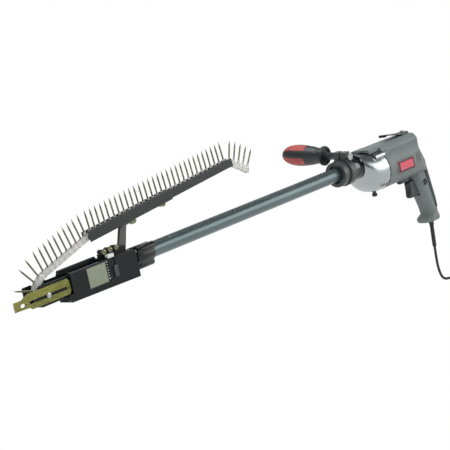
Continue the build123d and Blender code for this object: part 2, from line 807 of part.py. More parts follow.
# Belt hook
hook_low = SPINE_TOP_Z - AXIS_Z
hook_line = [
    (HOOK_BACK_X, hook_low),
    (HOOK_ROOT_X, hook_low),
    (HOOK_ROOT_X, hook_low + HOOK_ROOT_LIFT),
    (HOOK_TIP_X, hook_low + HOOK_TIP_RISE),
    (HOOK_TIP_X, hook_low + HOOK_TIP_RISE + HOOK_T),
    (HOOK_ROOT_X, hook_low + HOOK_ROOT_T),
    (HOOK_BACK_X - HOOK_BEVEL, hook_low + HOOK_ROOT_T),
]

with BuildPart() as belt_hook:
    with BuildSketch(side()):
        with BuildLine():
            Polyline(*hook_line, close=True)
        make_face()
    extrude(amount=HOOK_W / 2, both=True)
    with BuildSketch(Plane.XY.offset(SPINE_TOP_Z)):
        with Locations((HOOK_SCREW_X, 0)):
            Circle(SCREW_R + SEAT_FIT)
    extrude(amount=HOOK_ROOT_T, mode=Mode.SUBTRACT)
save(belt_hook, "belt_hook")

with BuildPart() as belt_hook_tip:
    hook_cap_low = SPINE_TOP_Z + HOOK_TIP_RISE + (HOOK_T - HOOK_CAP_T) / 2
    with BuildSketch(Plane.XY.offset(hook_cap_low)):
        with Locations((HOOK_TIP_X - HOOK_CAP_LEN / 2, 0)):
            RectangleRounded(HOOK_CAP_LEN, HOOK_CAP_W, HOOK_CAP_T)
    extrude(amount=HOOK_CAP_T)
    fillet(belt_hook_tip.faces().sort_by(Axis.Z)[-1].edges(), HOOK_T)
    fillet(belt_hook_tip.faces().sort_by(Axis.Z)[0].edges(), HOOK_T)
save(belt_hook_tip, "belt_hook_tip")

# Trigger, switch and reversing lever
trigger_back_top = (TRIGGER_BACK_X, TRIGGER_TOP_Z - AXIS_Z)
trigger_back_low = (TRIGGER_BACK_X, TRIGGER_LOW_Z - AXIS_Z)
trigger_front_top = (TRIGGER_FRONT_X + TRIGGER_DISH, TRIGGER_TOP_Z - AXIS_Z)
trigger_dish_mid = (TRIGGER_FRONT_X + TRIGGER_DISH, trigger_mid - AXIS_Z)
trigger_front_low = (TRIGGER_FRONT_X, TRIGGER_LOW_Z - AXIS_Z)

with BuildPart() as trigger:
    with BuildSketch(side()):
        with BuildLine():
            Line(trigger_back_top, trigger_front_top)
            ThreePointArc(trigger_front_top, trigger_dish_mid, trigger_front_low)
            Line(trigger_front_low, trigger_back_low)
            Line(trigger_back_low, trigger_back_top)
        make_face()
    extrude(amount=TRIGGER_W / 2, both=True)
    fillet(trigger.edges().filter_by(Axis.X).group_by(Axis.Z)[0], TRIGGER_LOW_ROUND)
    fillet(trigger.faces().sort_by(Axis.X)[0].edges(), TRIGGER_ROUND)
    with BuildSketch(across(TRIGGER_BACK_X, trigger_mid)):
        Rectangle(STEM_T, STEM_T)
    extrude(amount=STEM_REACH)
save(trigger, "trigger")

with BuildPart() as switch_body:
    with BuildSketch(across(SWITCH_FRONT_X, trigger_mid)):
        Rectangle(GRIP_W - 2 * WALL - 2 * SLIDE_GAP, SWITCH_H)
    extrude(amount=SWITCH_LEN)
    fillet(switch_body.edges().filter_by(Axis.Z).group_by(Axis.X)[-1], SWITCH_ROUND)
    with BuildSketch(across(SWITCH_FRONT_X, trigger_mid)):
        Rectangle(STEM_T + 2 * SLIDE_GAP, STEM_T + 2 * SLIDE_GAP)
    stem_depth = TRIGGER_BACK_X + STEM_REACH + TRIGGER_TRAVEL - SWITCH_FRONT_X + STEM_HOLE_SPARE
    extrude(amount=stem_depth, mode=Mode.SUBTRACT)
save(switch_body, "switch_body")

with BuildPart() as lock_on_button:
    with BuildSketch(side(-GRIP_W / 2 - LOCK_ON_PROUD)):
        with Locations((LOCK_ON_X, LOCK_ON_Z - AXIS_Z)):
            Circle(LOCK_ON_R)
    extrude(amount=-LOCK_ON_PROUD - LOCK_ON_DEPTH)
    fillet(lock_on_button.faces().sort_by(Axis.Y)[0].edges(), LOCK_ON_ROUND)
save(lock_on_button, "lock_on_button")

with BuildPart() as reverse_lever:
    lever_top = BARREL_LOW_Z - LEVER_GAP
    with BuildSketch(Plane.XY.offset(lever_top)):
        with Locations((LEVER_PIVOT_X - LEVER_LEN / 2, 0)):
            SlotCenterToCenter(LEVER_LEN, LEVER_W)
        with Locations((LEVER_PIVOT_X - LEVER_LEN, 0)):
            Circle(LEVER_KNOB_R)
    extrude(amount=-LEVER_T)
    fillet(reverse_lever.faces().sort_by(Axis.Z)[0].edges(), KNOB_ROUND)
    with BuildSketch(Plane.XY.offset(lever_top)):
        with Locations((LEVER_PIVOT_X, 0)):
            Circle(LEVER_POST_R)
    extrude(amount=LEVER_POST_LEN)
save(reverse_lever, "reverse_lever")

# Gearbox
with BuildPart() as gearbox_case:
    with BuildSketch(across(GEARBOX_FRONT_X)):
        RectangleRounded(CONE_W, CONE_H, CONE_CORNER)
    with BuildSketch(across(GEARBOX_FRONT_X + DOME_BACK, BARREL_MID_Z + DOME_RISE)):
        barrel_outline(DOME_IN)
    with BuildSketch(across(RIM_X, BARREL_MID_Z)):
        barrel_outline(0)
    loft()
    with BuildSketch(across(RIM_X, BARREL_MID_Z)):
        barrel_outline(0)
    extrude(amount=RIM_LEN - SEAM_W)
    with BuildSketch(across(HOUSING_FRONT_X - SEAM_W, BARREL_MID_Z)):
        barrel_outline(SEAM_DEPTH)
    extrude(amount=SEAM_W)
    with BuildSketch(across(GEARBOX_FRONT_X + CASE_FRONT_WALL)):
        RectangleRounded(CONE_W - 2 * CASE_WALL, CONE_H - 2 * CASE_WALL, CONE_CORNER - CASE_WALL)
    with BuildSketch(across(RIM_X, BARREL_MID_Z)):
        barrel_outline(CASE_WALL)
    loft(mode=Mode.SUBTRACT)
    with BuildSketch(across(RIM_X, BARREL_MID_Z)):
        barrel_outline(CASE_WALL)
    extrude(amount=RIM_LEN, mode=Mode.SUBTRACT)
    with BuildSketch(across(HOUSING_FRONT_X, BARREL_MID_Z)):
        with Locations(*gear_high_points):
            Circle(GEAR_BOSS_R)
    extrude(amount=-GEAR_BOSS_LEN)
    with BuildSketch(across(HOUSING_FRONT_X, BARREL_MID_Z)):
        with Locations(*gear_low_points):
            Circle(HOUSING_BOSS_R)
    extrude(amount=-GEAR_LOW_BOSS_LEN)
    with BuildSketch(across(HOUSING_FRONT_X, BARREL_MID_Z)):
        with Locations(*gear_low_points):
            Circle(SCREW_R + SEAT_FIT)
    extrude(amount=HOUSING_BOSS_LEN - GEAR_SCREW_LEN, mode=Mode.SUBTRACT)
    with Locations(across(HOUSING_FRONT_X - GEAR_BOSS_LEN, BARREL_MID_Z)):
        with Locations(*gear_high_points):
            Cylinder(
                SCREW_HEAD_R + SLIDE_GAP,
                SCREW_RECESS,
                align=(Align.CENTER, Align.CENTER, Align.MIN),
                mode=Mode.SUBTRACT,
            )
            Cylinder(
                SCREW_R + SEAT_FIT,
                GEAR_BOSS_LEN,
                align=(Align.CENTER, Align.CENTER, Align.MIN),
                mode=Mode.SUBTRACT,
            )
    with BuildSketch(across(GEARBOX_FRONT_X)):
        Circle(SPINDLE_R + SPINDLE_CLEAR)
    extrude(amount=CASE_FRONT_WALL, mode=Mode.SUBTRACT)
    with BuildSketch(Plane.XY.offset(BARREL_LOW_Z)):
        with Locations((LOCK_X, 0)):
            Circle(LOCK_STEM_R + RUN_FIT)
    extrude(amount=CASE_WALL, mode=Mode.SUBTRACT)
save(gearbox_case, "gearbox_case")

gear_high_free = sqrt(GEAR_SCREW_Y**2 + (GEAR_SCREW_Z - BARREL_DROP) ** 2) - GEAR_BOSS_R
gear_low_free = sqrt(GEAR_LOW_Y**2 + (GEAR_LOW_Z + BARREL_DROP) ** 2) - HOUSING_BOSS_R
gear_plate_r = min(gear_high_free, gear_low_free) - GEAR_PLATE_GAP
gear_plate_x = HOUSING_FRONT_X - GEAR_PLATE_T

with BuildPart() as gear_plate:
    with BuildSketch(across(gear_plate_x, MOTOR_Z)):
        Circle(gear_plate_r)
        Circle(FRONT_BEARING_R + SEAT_FIT, mode=Mode.SUBTRACT)
        with Locations((0, AXIS_Z - MOTOR_Z)):
            Circle(JOURNAL_BUSH_R + SEAT_FIT, mode=Mode.SUBTRACT)
    extrude(amount=GEAR_PLATE_T)
save(gear_plate, "gear_plate")

with BuildPart() as spindle_lock_button:
    cap_top = BARREL_LOW_Z - LOCK_TRAVEL - LOCK_GAP
    with BuildSketch(Plane.XY.offset(cap_top)):
        with Locations((LOCK_X, 0)):
            Circle(LOCK_CAP_R)
    extrude(amount=-LOCK_CAP_H)
    fillet(spindle_lock_button.faces().sort_by(Axis.Z)[0].edges(), KNOB_ROUND)
    with BuildSketch(Plane.XY.offset(cap_top)):
        with Locations((LOCK_X, 0)):
            Circle(LOCK_STEM_R)
    extrude(amount=LOCK_STEM_LEN)
save(spindle_lock_button, "spindle_lock_button")

with BuildPart() as nose_collar:
    with BuildSketch(across(COLLAR_FRONT_X)):
        Circle(COLLAR_R)
        Circle(SPINDLE_R + SPINDLE_CLEAR, mode=Mode.SUBTRACT)
    extrude(amount=COLLAR_LEN)
    with BuildSketch(across(COLLAR_FRONT_X)):
        Circle(TUBE_R + SEAT_FIT)
    extrude(amount=TUBE_SEAT, mode=Mode.SUBTRACT)
    with BuildSketch(across(GEARBOX_FRONT_X)):
        Circle(SPINDLE_BEARING_R + SEAT_FIT)
    extrude(amount=-SPINDLE_BEARING_LEN, mode=Mode.SUBTRACT)
save(nose_collar, "nose_collar")

# Gear pair: involute flanks drawn as arcs through the root, pitch and tip points


def polar(radius, angle):
    return (radius * cos(angle), radius * sin(angle))


def gear_edges(teeth, first_angle):
    pitch_r = MODULE * teeth / 2
    base_r = pitch_r * cos(radians(PRESSURE_ANGLE))
    tip_r = pitch_r + TOOTH_ADDENDUM * MODULE
    root_r = pitch_r - TOOTH_DEDENDUM * MODULE
    half_pitch = (pi * MODULE / 2 - BACKLASH / 2) / (2 * pitch_r)

    def half_angle(radius):
        press = acos(min(1.0, base_r / max(radius, base_r)))
        start = radians(PRESSURE_ANGLE)
        return half_pitch + tan(start) - start - tan(press) + press

    half_root = half_angle(root_r)
    half_tip = half_angle(tip_r)
    with BuildLine() as outline:
        for tooth in range(teeth):
            mid = radians(first_angle) + 2 * pi * tooth / teeth
            after = mid + 2 * pi / teeth
            rising = [polar(root_r, mid - half_root), polar(pitch_r, mid - half_pitch)]
            rising.append(polar(tip_r, mid - half_tip))
            falling = [polar(tip_r, mid + half_tip), polar(pitch_r, mid + half_pitch)]
            falling.append(polar(root_r, mid + half_root))
            ThreePointArc(*rising)
            Line(rising[-1], falling[0])
            ThreePointArc(*falling)
            Line(falling[-1], polar(root_r, after - half_root))
    return outline.edges()


gear_back_x = gear_plate_x - GEAR_BACK_GAP
gear_front_x = gear_back_x - GEAR_WIDTH
pinion_front_x = gear_front_x - PINION_OVERHANG

with BuildPart() as armature_shaft:
    with BuildSketch(across(pinion_front_x, MOTOR_Z)):
        make_face(gear_edges(PINION_TEETH, 90 + 180 / PINION_TEETH))
    extrude(amount=GEAR_WIDTH + 2 * PINION_OVERHANG)
    with BuildSketch(across(gear_back_x + PINION_OVERHANG, MOTOR_Z)):
        Circle(SHAFT_R)
    extrude(amount=REAR_RIB_X + REAR_RIB_T - gear_back_x - PINION_OVERHANG)
save(armature_shaft, "armature_shaft")

with BuildPart() as armature_core:
    with BuildSketch(across(CORE_FRONT_X - WINDING_LEN, MOTOR_Z)):
        Circle(WINDING_R)
    extrude(amount=CORE_LEN + 2 * WINDING_LEN)
    with BuildSketch(across(CORE_FRONT_X, MOTOR_Z)):
        Circle(CORE_R)
    extrude(amount=CORE_LEN)
    with BuildSketch(across(CORE_BACK_X, MOTOR_Z)):
        Circle(COMM_R)
    extrude(amount=COMM_BACK_X - CORE_BACK_X)
    with BuildSketch(across(CORE_FRONT_X - WINDING_LEN, MOTOR_Z)):
        Circle(SHAFT_R + SEAT_FIT)
    extrude(amount=COMM_BACK_X - CORE_FRONT_X + WINDING_LEN, mode=Mode.SUBTRACT)
save(armature_core, "armature_core")

with BuildPart() as cooling_fan:
    with BuildSketch(across(FAN_X, MOTOR_Z)):
        Circle(FAN_R)
    extrude(amount=FAN_DISC_T)
    with BuildSketch(across(FAN_X, MOTOR_Z)):
        Circle(FAN_HUB_R)
        with PolarLocations((FAN_R + FAN_HUB_R) / 2, FAN_BLADES):
            Rectangle(FAN_R - FAN_HUB_R - FAN_BLADE_T, FAN_BLADE_T)
        with PolarLocations(FAN_HUB_R, FAN_BLADES):
            Rectangle(FAN_HUB_R / 2, FAN_BLADE_T)
    extrude(amount=FAN_T)
    with BuildSketch(across(FAN_X, MOTOR_Z)):
        Circle(SHAFT_R + SEAT_FIT)
    extrude(amount=FAN_T, mode=Mode.SUBTRACT)
save(cooling_fan, "cooling_fan")

with BuildPart() as stator:
    with BuildSketch(across(CORE_FRONT_X + (CORE_LEN - STATOR_LEN) / 2, MOTOR_Z)):
        Circle(BARREL_TOP_Z - WALL - SLIDE_GAP - MOTOR_Z)
        Circle(CORE_R + AIR_GAP, mode=Mode.SUBTRACT)
    extrude(amount=STATOR_LEN)
save(stator, "stator")

with BuildPart() as brush_holders:
    brush_x = COMM_BACK_X - COMM_LEN / 2
    brush_end = barrel_half(brush_x + BRUSH_W / 2, REAR_HIGH_X) - WALL - BRUSH_GAP
    brush_len = brush_end - COMM_R - BRUSH_GAP
    brush_mid = COMM_R + BRUSH_GAP + brush_len / 2
    with Locations((brush_x, brush_mid, MOTOR_Z), (brush_x, -brush_mid, MOTOR_Z)):
        Box(BRUSH_W, brush_len, BRUSH_H)
save(brush_holders, "brush_holders")

# Spindle line: gear, spindle, drive shaft, bit, and the bearings and bushes that carry it
with BuildPart() as drive_gear:
    with BuildSketch(across(gear_front_x)):
        make_face(gear_edges(GEAR_TEETH, -90))
        Circle(SPINDLE_R + SEAT_FIT, mode=Mode.SUBTRACT)
    extrude(amount=GEAR_WIDTH)
save(drive_gear, "drive_gear")

with BuildPart() as spindle:
    with BuildSketch(across(SPINDLE_FRONT_X)):
        Circle(SPINDLE_R)
    extrude(amount=gear_back_x - SPINDLE_FRONT_X)
    with BuildSketch(across(gear_back_x)):
        Circle(JOURNAL_R)
    extrude(amount=HOUSING_FRONT_X - gear_back_x)
    with BuildSketch(across(SPINDLE_FRONT_X)):
        RegularPolygon((HEX_AF + HEX_GAP) / 2, 6, major_radius=False)
    extrude(amount=HEX_GRIP, mode=Mode.SUBTRACT)
save(spindle, "spindle")

shaft_rear_x = SPINDLE_FRONT_X - END_PLAY
shaft_front_x = COUPLER_FRONT_X
bit_tip_x = GUIDE_X - GUIDE_TRACK_IN + END_PLAY

with BuildPart() as drive_shaft:
    with BuildSketch(across(shaft_front_x)):
        Circle(DRIVE_SHAFT_R)
    extrude(amount=shaft_rear_x - shaft_front_x)
    with BuildSketch(across(shaft_rear_x)):
        RegularPolygon(HEX_AF / 2, 6, major_radius=False)
    extrude(amount=HEX_GRIP)
    with BuildSketch(across(shaft_front_x)):
        RegularPolygon((HEX_AF + HEX_GAP) / 2, 6, major_radius=False)
    extrude(amount=HEX_GRIP, mode=Mode.SUBTRACT)
save(drive_shaft, "drive_shaft")

bit_hex_front_x = shaft_front_x + HEX_GRIP - END_PLAY - BIT_HEX_LEN

with BuildPart() as drive_bit:
    with BuildSketch(across(bit_hex_front_x)):
        RegularPolygon(HEX_AF / 2, 6, major_radius=False)
    extrude(amount=BIT_HEX_LEN)
    with BuildSketch(across(bit_hex_front_x)):
        Circle(BIT_R)
    extrude(amount=bit_tip_x + BIT_POINT_LEN - bit_hex_front_x)
    with BuildSketch(across(bit_tip_x)):
        Circle(BIT_POINT_R)
    with BuildSketch(across(bit_tip_x + BIT_POINT_LEN)):
        Circle(BIT_R)
    loft()
save(drive_bit, "drive_bit")

with BuildPart() as bearings:
    with BuildSketch(across(GEARBOX_FRONT_X)):
        Circle(SPINDLE_BEARING_R)
        Circle(SPINDLE_R + RUN_FIT, mode=Mode.SUBTRACT)
    extrude(amount=-SPINDLE_BEARING_LEN)
    with BuildSketch(across(gear_plate_x)):
        Circle(JOURNAL_BUSH_R)
        Circle(JOURNAL_R + RUN_FIT, mode=Mode.SUBTRACT)
    extrude(amount=GEAR_PLATE_T)
    with BuildSketch(across(gear_plate_x, MOTOR_Z)):
        Circle(FRONT_BEARING_R)
        Circle(SHAFT_R + RUN_FIT, mode=Mode.SUBTRACT)
    extrude(amount=GEAR_PLATE_T)
    with BuildSketch(across(REAR_RIB_X, MOTOR_Z)):
        Circle(REAR_BEARING_R)
        Circle(SHAFT_R + RUN_FIT, mode=Mode.SUBTRACT)
    extrude(amount=REAR_RIB_T)
    bush_first_x = TUBE_FRONT_X + BUSH_MARGIN
    bush_step = (TUBE_LEN - 2 * BUSH_MARGIN - BUSH_LEN) / (BUSH_COUNT - 1)
    for bush in range(BUSH_COUNT):
        with BuildSketch(across(bush_first_x + bush * bush_step)):
            Circle(TUBE_R - TUBE_WALL - SEAT_FIT)
            Circle(DRIVE_SHAFT_R + RUN_FIT, mode=Mode.SUBTRACT)
        extrude(amount=BUSH_LEN)
save(bearings, "bearings")

# Extension tube, its rear adaptor and the front coupler
with BuildPart() as extension_tube:
    with BuildSketch(across(TUBE_FRONT_X)):
        Circle(TUBE_R)
        Circle(TUBE_R - TUBE_WALL, mode=Mode.SUBTRACT)
    extrude(amount=TUBE_LEN)
save(extension_tube, "extension_tube")

with BuildPart() as tube_adaptor:
    with BuildSketch(across(COLLAR_FRONT_X)):
        Circle(ADAPTOR_R)
        Circle(TUBE_R + SEAT_FIT, mode=Mode.SUBTRACT)
    extrude(amount=-ADAPTOR_LEN)
    with BuildSketch(across(COLLAR_FRONT_X - ADAPTOR_LEN)):
        Circle(ADAPTOR_GROOVE_R)
        Circle(TUBE_R, mode=Mode.SUBTRACT)
    extrude(amount=ADAPTOR_GROOVE_LEN, mode=Mode.SUBTRACT)
    fillet(tube_adaptor.edges().filter_by(GeomType.CIRCLE).sort_by(Axis.X)[0:1], EDGE_ROUND)
save(tube_adaptor, "tube_adaptor")

with BuildPart() as front_coupler:
    with BuildSketch(across(COUPLER_FRONT_X)):
        Circle(COUPLER_R)
        with PolarLocations(COUPLER_R, COUPLER_LOBES, 180 - COUPLER_LOBE_TURN):
            Circle(COUPLER_LOBE_R)
    extrude(amount=COUPLER_LEN)
    with BuildSketch(across(COUPLER_FRONT_X)):
        Circle(COUPLER_SPIGOT_R)
    extrude(amount=-COUPLER_SPIGOT_LEN)
    with BuildSketch(across(COUPLER_FRONT_X - COUPLER_SPIGOT_LEN)):
        Circle(BLOCK_BORE_R)
    extrude(amount=COUPLER_LEN + COUPLER_SPIGOT_LEN, mode=Mode.SUBTRACT)
    with BuildSketch(across(TUBE_FRONT_X)):
        Circle(TUBE_R + SEAT_FIT)
    extrude(amount=COUPLER_LEN, mode=Mode.SUBTRACT)
    with Locations(across(COUPLER_FRONT_X)):
        with PolarLocations(COUPLER_R, COUPLER_LOBES, 180 - COUPLER_LOBE_TURN):
            Cylinder(
                COUPLER_SCREW_R + SEAT_FIT,
                COUPLER_LEN / 2,
                align=(Align.CENTER, Align.CENTER, Align.MIN),
                mode=Mode.SUBTRACT,
            )
save(front_coupler, "front_coupler")

with BuildPart() as coupler_screws:
    with Locations(across(COUPLER_FRONT_X)):
        with PolarLocations(COUPLER_R, COUPLER_LOBES, 180 - COUPLER_LOBE_TURN):
            Cylinder(COUPLER_SCREW_R, COUPLER_LEN / 2, align=(Align.CENTER, Align.CENTER, Align.MIN))
            Cylinder(COUPLER_HEAD_R, COUPLER_HEAD_LEN, align=(Align.CENTER, Align.CENTER, Align.MAX))
    with BuildSketch(across(COUPLER_FRONT_X - COUPLER_HEAD_LEN)):
        with PolarLocations(COUPLER_R, COUPLER_LOBES, 180 - COUPLER_LOBE_TURN):
            RegularPolygon(COUPLER_SOCKET_R, HEX_SIDES)
    extrude(amount=COUPLER_SOCKET_DEPTH, mode=Mode.SUBTRACT)
save(coupler_screws, "coupler_screws")

# Feed head: two cheeks, the frame between them and what is fixed to them


def cheek_edges(chamfer):
    top_front_x = HEAD_FRONT_X + HEAD_RAKE
    with BuildLine() as outline:
        Polyline(
            (top_front_x, HEAD_TOP),
            (HEAD_FRONT_X, -HEAD_LOW + chamfer),
            (HEAD_FRONT_X + chamfer, -HEAD_LOW),
            (HEAD_REAR_X, -HEAD_REAR_LOW),
            (HEAD_REAR_X, HEAD_TOP - HEAD_REAR_STEP),
            (HEAD_REAR_X - HEAD_REAR_STEP, HEAD_TOP),
            close=True,
        )
    return outline.edges()


def cheek_flange(direction):
    flange_mid = direction * (SLOT_HALF + CHEEK_IN) / 2
    flange_len = BLOCK_FRONT_X - HEAD_FRONT_X - HEAD_RAKE
    flange_x = HEAD_FRONT_X + HEAD_RAKE + flange_len / 2
    with Locations((flange_x, flange_mid, AXIS_Z + HEAD_TOP - FLANGE_T / 2)):
        Box(flange_len, CHEEK_IN - SLOT_HALF, FLANGE_T)


selector_x = HEAD_REAR_X - SELECTOR_X

with BuildPart() as head_cheek_left:
    with BuildSketch(side(-CHEEK_IN)):
        make_face(cheek_edges(HEAD_CHAMFER))
    extrude(amount=CHEEK_T)
    cheek_flange(-1)
    notch_len = SLIDER_FRONT_X + NOSE_BACK + NOSE_NOTCH_GAP - HEAD_FRONT_X
    notch_h = NOSE_TOP + NOSE_LOW + 2 * NOSE_NOTCH_GAP
    with BuildSketch(side(-CHEEK_IN)):
        with Locations((HEAD_FRONT_X + notch_len / 2, (NOSE_TOP - NOSE_LOW) / 2)):
            Rectangle(notch_len, notch_h)
    extrude(amount=CHEEK_T, mode=Mode.SUBTRACT)
    with BuildSketch(side(-CHEEK_OUT)):
        with Locations((selector_x, GROOVE_MID)):
            SlotOverall(GROOVE_LEN, SELECTOR_STEM_W + 2 * SLIDE_GAP, rotation=90)
    extrude(amount=-GROOVE_DEPTH, mode=Mode.SUBTRACT)
save(head_cheek_left, "head_cheek_left")

with BuildPart() as head_cheek_right:
    with BuildSketch(side(CHEEK_OUT)):
        make_face(cheek_edges(HEAD_FAR_CHAMFER))
    extrude(amount=CHEEK_T)
    cheek_flange(1)
    with BuildSketch(across(BLOCK_FRONT_X - ROD_SETBACK)):
        with Locations((ROD_SIDE, ROD_RISE)):
            Circle(ROD_R)
    extrude(amount=-ROD_LEN)
    with BuildSketch(across(BLOCK_FRONT_X - ROD_SETBACK)):
        with Locations((CHEEK_IN / 2, HEAD_TOP - FLANGE_T - ROD_R)):
            Rectangle(CHEEK_IN, 2 * ROD_R)
    extrude(amount=-ROD_LEN, mode=Mode.SUBTRACT)
save(head_cheek_right, "head_cheek_right")

with BuildPart() as label_plate:
    with BuildSketch(side(-CHEEK_OUT)):
        with Locations((HEAD_FRONT_X + LABEL_X, -LABEL_DROP)):
            RectangleRounded(LABEL_L, LABEL_H, LABEL_T)
    extrude(amount=LABEL_T)
save(label_plate, "label_plate")

with BuildPart() as depth_selector:
    with BuildSketch(side(-CHEEK_OUT - SLIDE_GAP)):
        with Locations((selector_x, SELECTOR_H / 2 - SELECTOR_LOW)):
            RectangleRounded(SELECTOR_W, SELECTOR_H, SELECTOR_ROUND)
    extrude(amount=SELECTOR_PROUD)
    fillet(depth_selector.faces().sort_by(Axis.Y)[0].edges(), EDGE_ROUND)
    with BuildSketch(side(-CHEEK_OUT - SLIDE_GAP)):
        with Locations((selector_x, SELECTOR_H / 2 - SELECTOR_LOW)):
            Rectangle(SELECTOR_STEM_W, SELECTOR_H - 2 * SELECTOR_STEM_W)
    extrude(amount=-GROOVE_DEPTH)
save(depth_selector, "depth_selector")

with BuildPart() as nylon_pad:
    with BuildSketch(side(-CHEEK_OUT + PAD_W)):
        with Locations((HEAD_REAR_X - PAD_X, HEAD_TOP + PAD_H / 2)):
            RectangleRounded(PAD_L, PAD_H, PAD_ROUND)
    extrude(amount=PAD_W)
save(nylon_pad, "nylon_pad")

# Slider: two walls on a floor, a rear bulkhead and the curved guide track
slider_nose_x = SLIDER_FRONT_X + SLIDER_NOSE_LEN
guard_x = SLIDER_FRONT_X + SLIDER_GUARD_LEN
nose_screw_x = SLIDER_FRONT_X + NOSE_SLOT_X
tongue_mid_x = (SLIDER_FRONT_X + SLIDER_CHIN + SLIDER_REAR_X + SLIDER_TONGUE) / 2
track_lifts = [GUIDE_TRACK_LOW, (GUIDE_TRACK_LOW + GUIDE_TRACK_HIGH) / 2, GUIDE_TRACK_HIGH]


def guide_point(radius, lift):
    """Point on the feed guide, lift degrees above its forward level."""
    return (GUIDE_X - radius * cos(radians(lift)), GUIDE_RISE + radius * sin(radians(lift)))


with BuildPart() as slider_body:
    with BuildSketch(side(-NEAR_WALL_IN)):
        with BuildLine():
            Polyline(
                (SLIDER_FRONT_X + SLIDER_CHIN, -SLIDER_LOW),
                (SLIDER_FRONT_X, SLIDER_CHIN - SLIDER_LOW),
                (SLIDER_FRONT_X, SLIDER_NOSE_TOP),
                (slider_nose_x, SLIDER_NOSE_TOP),
                (slider_nose_x + SLIDER_TOP - SLIDER_NOSE_TOP, SLIDER_TOP),
                (SLIDER_REAR_X, SLIDER_TOP),
                (SLIDER_REAR_X, -SLIDER_LOW),
                close=True,
            )
        make_face()
    extrude(amount=SLIDER_WALL)
    with BuildSketch(side(FAR_WALL_OUT)):
        with BuildLine():
            Polyline(
                (SLIDER_FRONT_X + SLIDER_CHIN, -SLIDER_LOW),
                (SLIDER_FRONT_X, SLIDER_CHIN - SLIDER_LOW),
                (SLIDER_FRONT_X, SLIDER_TOP),
                (SLIDER_FRONT_X + SLIDER_GUARD_TOP - SLIDER_TOP, SLIDER_GUARD_TOP),
                (guard_x - SLIDER_GUARD_TOP + SLIDER_TOP, SLIDER_GUARD_TOP),
                (guard_x, SLIDER_TOP),
                (SLIDER_REAR_X, SLIDER_TOP),
                (SLIDER_REAR_X, -SLIDER_LOW),
                close=True,
            )
        make_face()
    extrude(amount=SLIDER_WALL)
    with BuildSketch(side(FAR_WALL_OUT)):
        with Locations((tongue_mid_x, -SLIDER_LOW + SLIDER_FLOOR_T / 2)):
            Rectangle(SLIDER_LEN - SLIDER_CHIN + SLIDER_TONGUE, SLIDER_FLOOR_T)
    extrude(amount=FAR_WALL_OUT + NEAR_WALL_OUT)
    with BuildSketch(side(FAR_WALL_IN)):
        with Locations((SLIDER_REAR_X - BULKHEAD_T / 2, (SLIDER_TOP - SLIDER_LOW) / 2)):
            Rectangle(BULKHEAD_T, SLIDER_TOP + SLIDER_LOW)
    extrude(amount=FAR_WALL_IN + NEAR_WALL_IN)
    with BuildSketch(across(SLIDER_REAR_X)):
        Circle(BIT_R + SLIDE_GAP)
    extrude(amount=-BULKHEAD_T, mode=Mode.SUBTRACT)
    with BuildSketch(side(GUIDE_TRACK_SIDE)):
        with BuildLine():
            ThreePointArc(*[guide_point(GUIDE_TRACK_OUT, lift) for lift in track_lifts])
            ThreePointArc(*[guide_point(GUIDE_TRACK_IN, lift) for lift in track_lifts])
            for lift in (GUIDE_TRACK_LOW, GUIDE_TRACK_HIGH):
                Line(guide_point(GUIDE_TRACK_IN, lift), guide_point(GUIDE_TRACK_OUT, lift))
        make_face()
    extrude(amount=GUIDE_TRACK_SIDE + NEAR_WALL_IN)
    with BuildSketch(side(-NEAR_WALL_IN)):
        with Locations((nose_screw_x, -NOSE_SLOT_DROP)):
            Circle(NOSE_SCREW_R + SEAT_FIT)
    extrude(amount=SLIDER_WALL, mode=Mode.SUBTRACT)
    with BuildSketch(side(FAR_WALL_OUT)):
        with Locations((SLIDER_FRONT_X + PAWL_X, PAWL_RISE)):
            Circle(PAWL_PIN_R + RUN_FIT)
    extrude(amount=SLIDER_WALL, mode=Mode.SUBTRACT)
save(slider_body, "slider_body")

# Nosepiece plate with its toothed foot, and the screw that clamps it to the slider
nose_front_x = SLIDER_FRONT_X - NOSE_REACH
nose_back_x = SLIDER_FRONT_X + NOSE_BACK
nose_inner_y = -NEAR_WALL_OUT - SLIDE_GAP
tooth_h = (NOSE_TIP_TOP + NOSE_TIP_LOW) / NOSE_TEETH
nose_teeth_line = [(nose_front_x, NOSE_TIP_TOP)]
for tooth in range(NOSE_TEETH):
    tooth_top = NOSE_TIP_TOP - tooth * tooth_h
    if tooth > 0:
        nose_teeth_line.append((nose_front_x, tooth_top))
    nose_teeth_line.append((nose_front_x + NOSE_TOOTH_LEN, tooth_top - tooth_h / 2))
nose_teeth_line.append((nose_front_x, -NOSE_TIP_LOW))

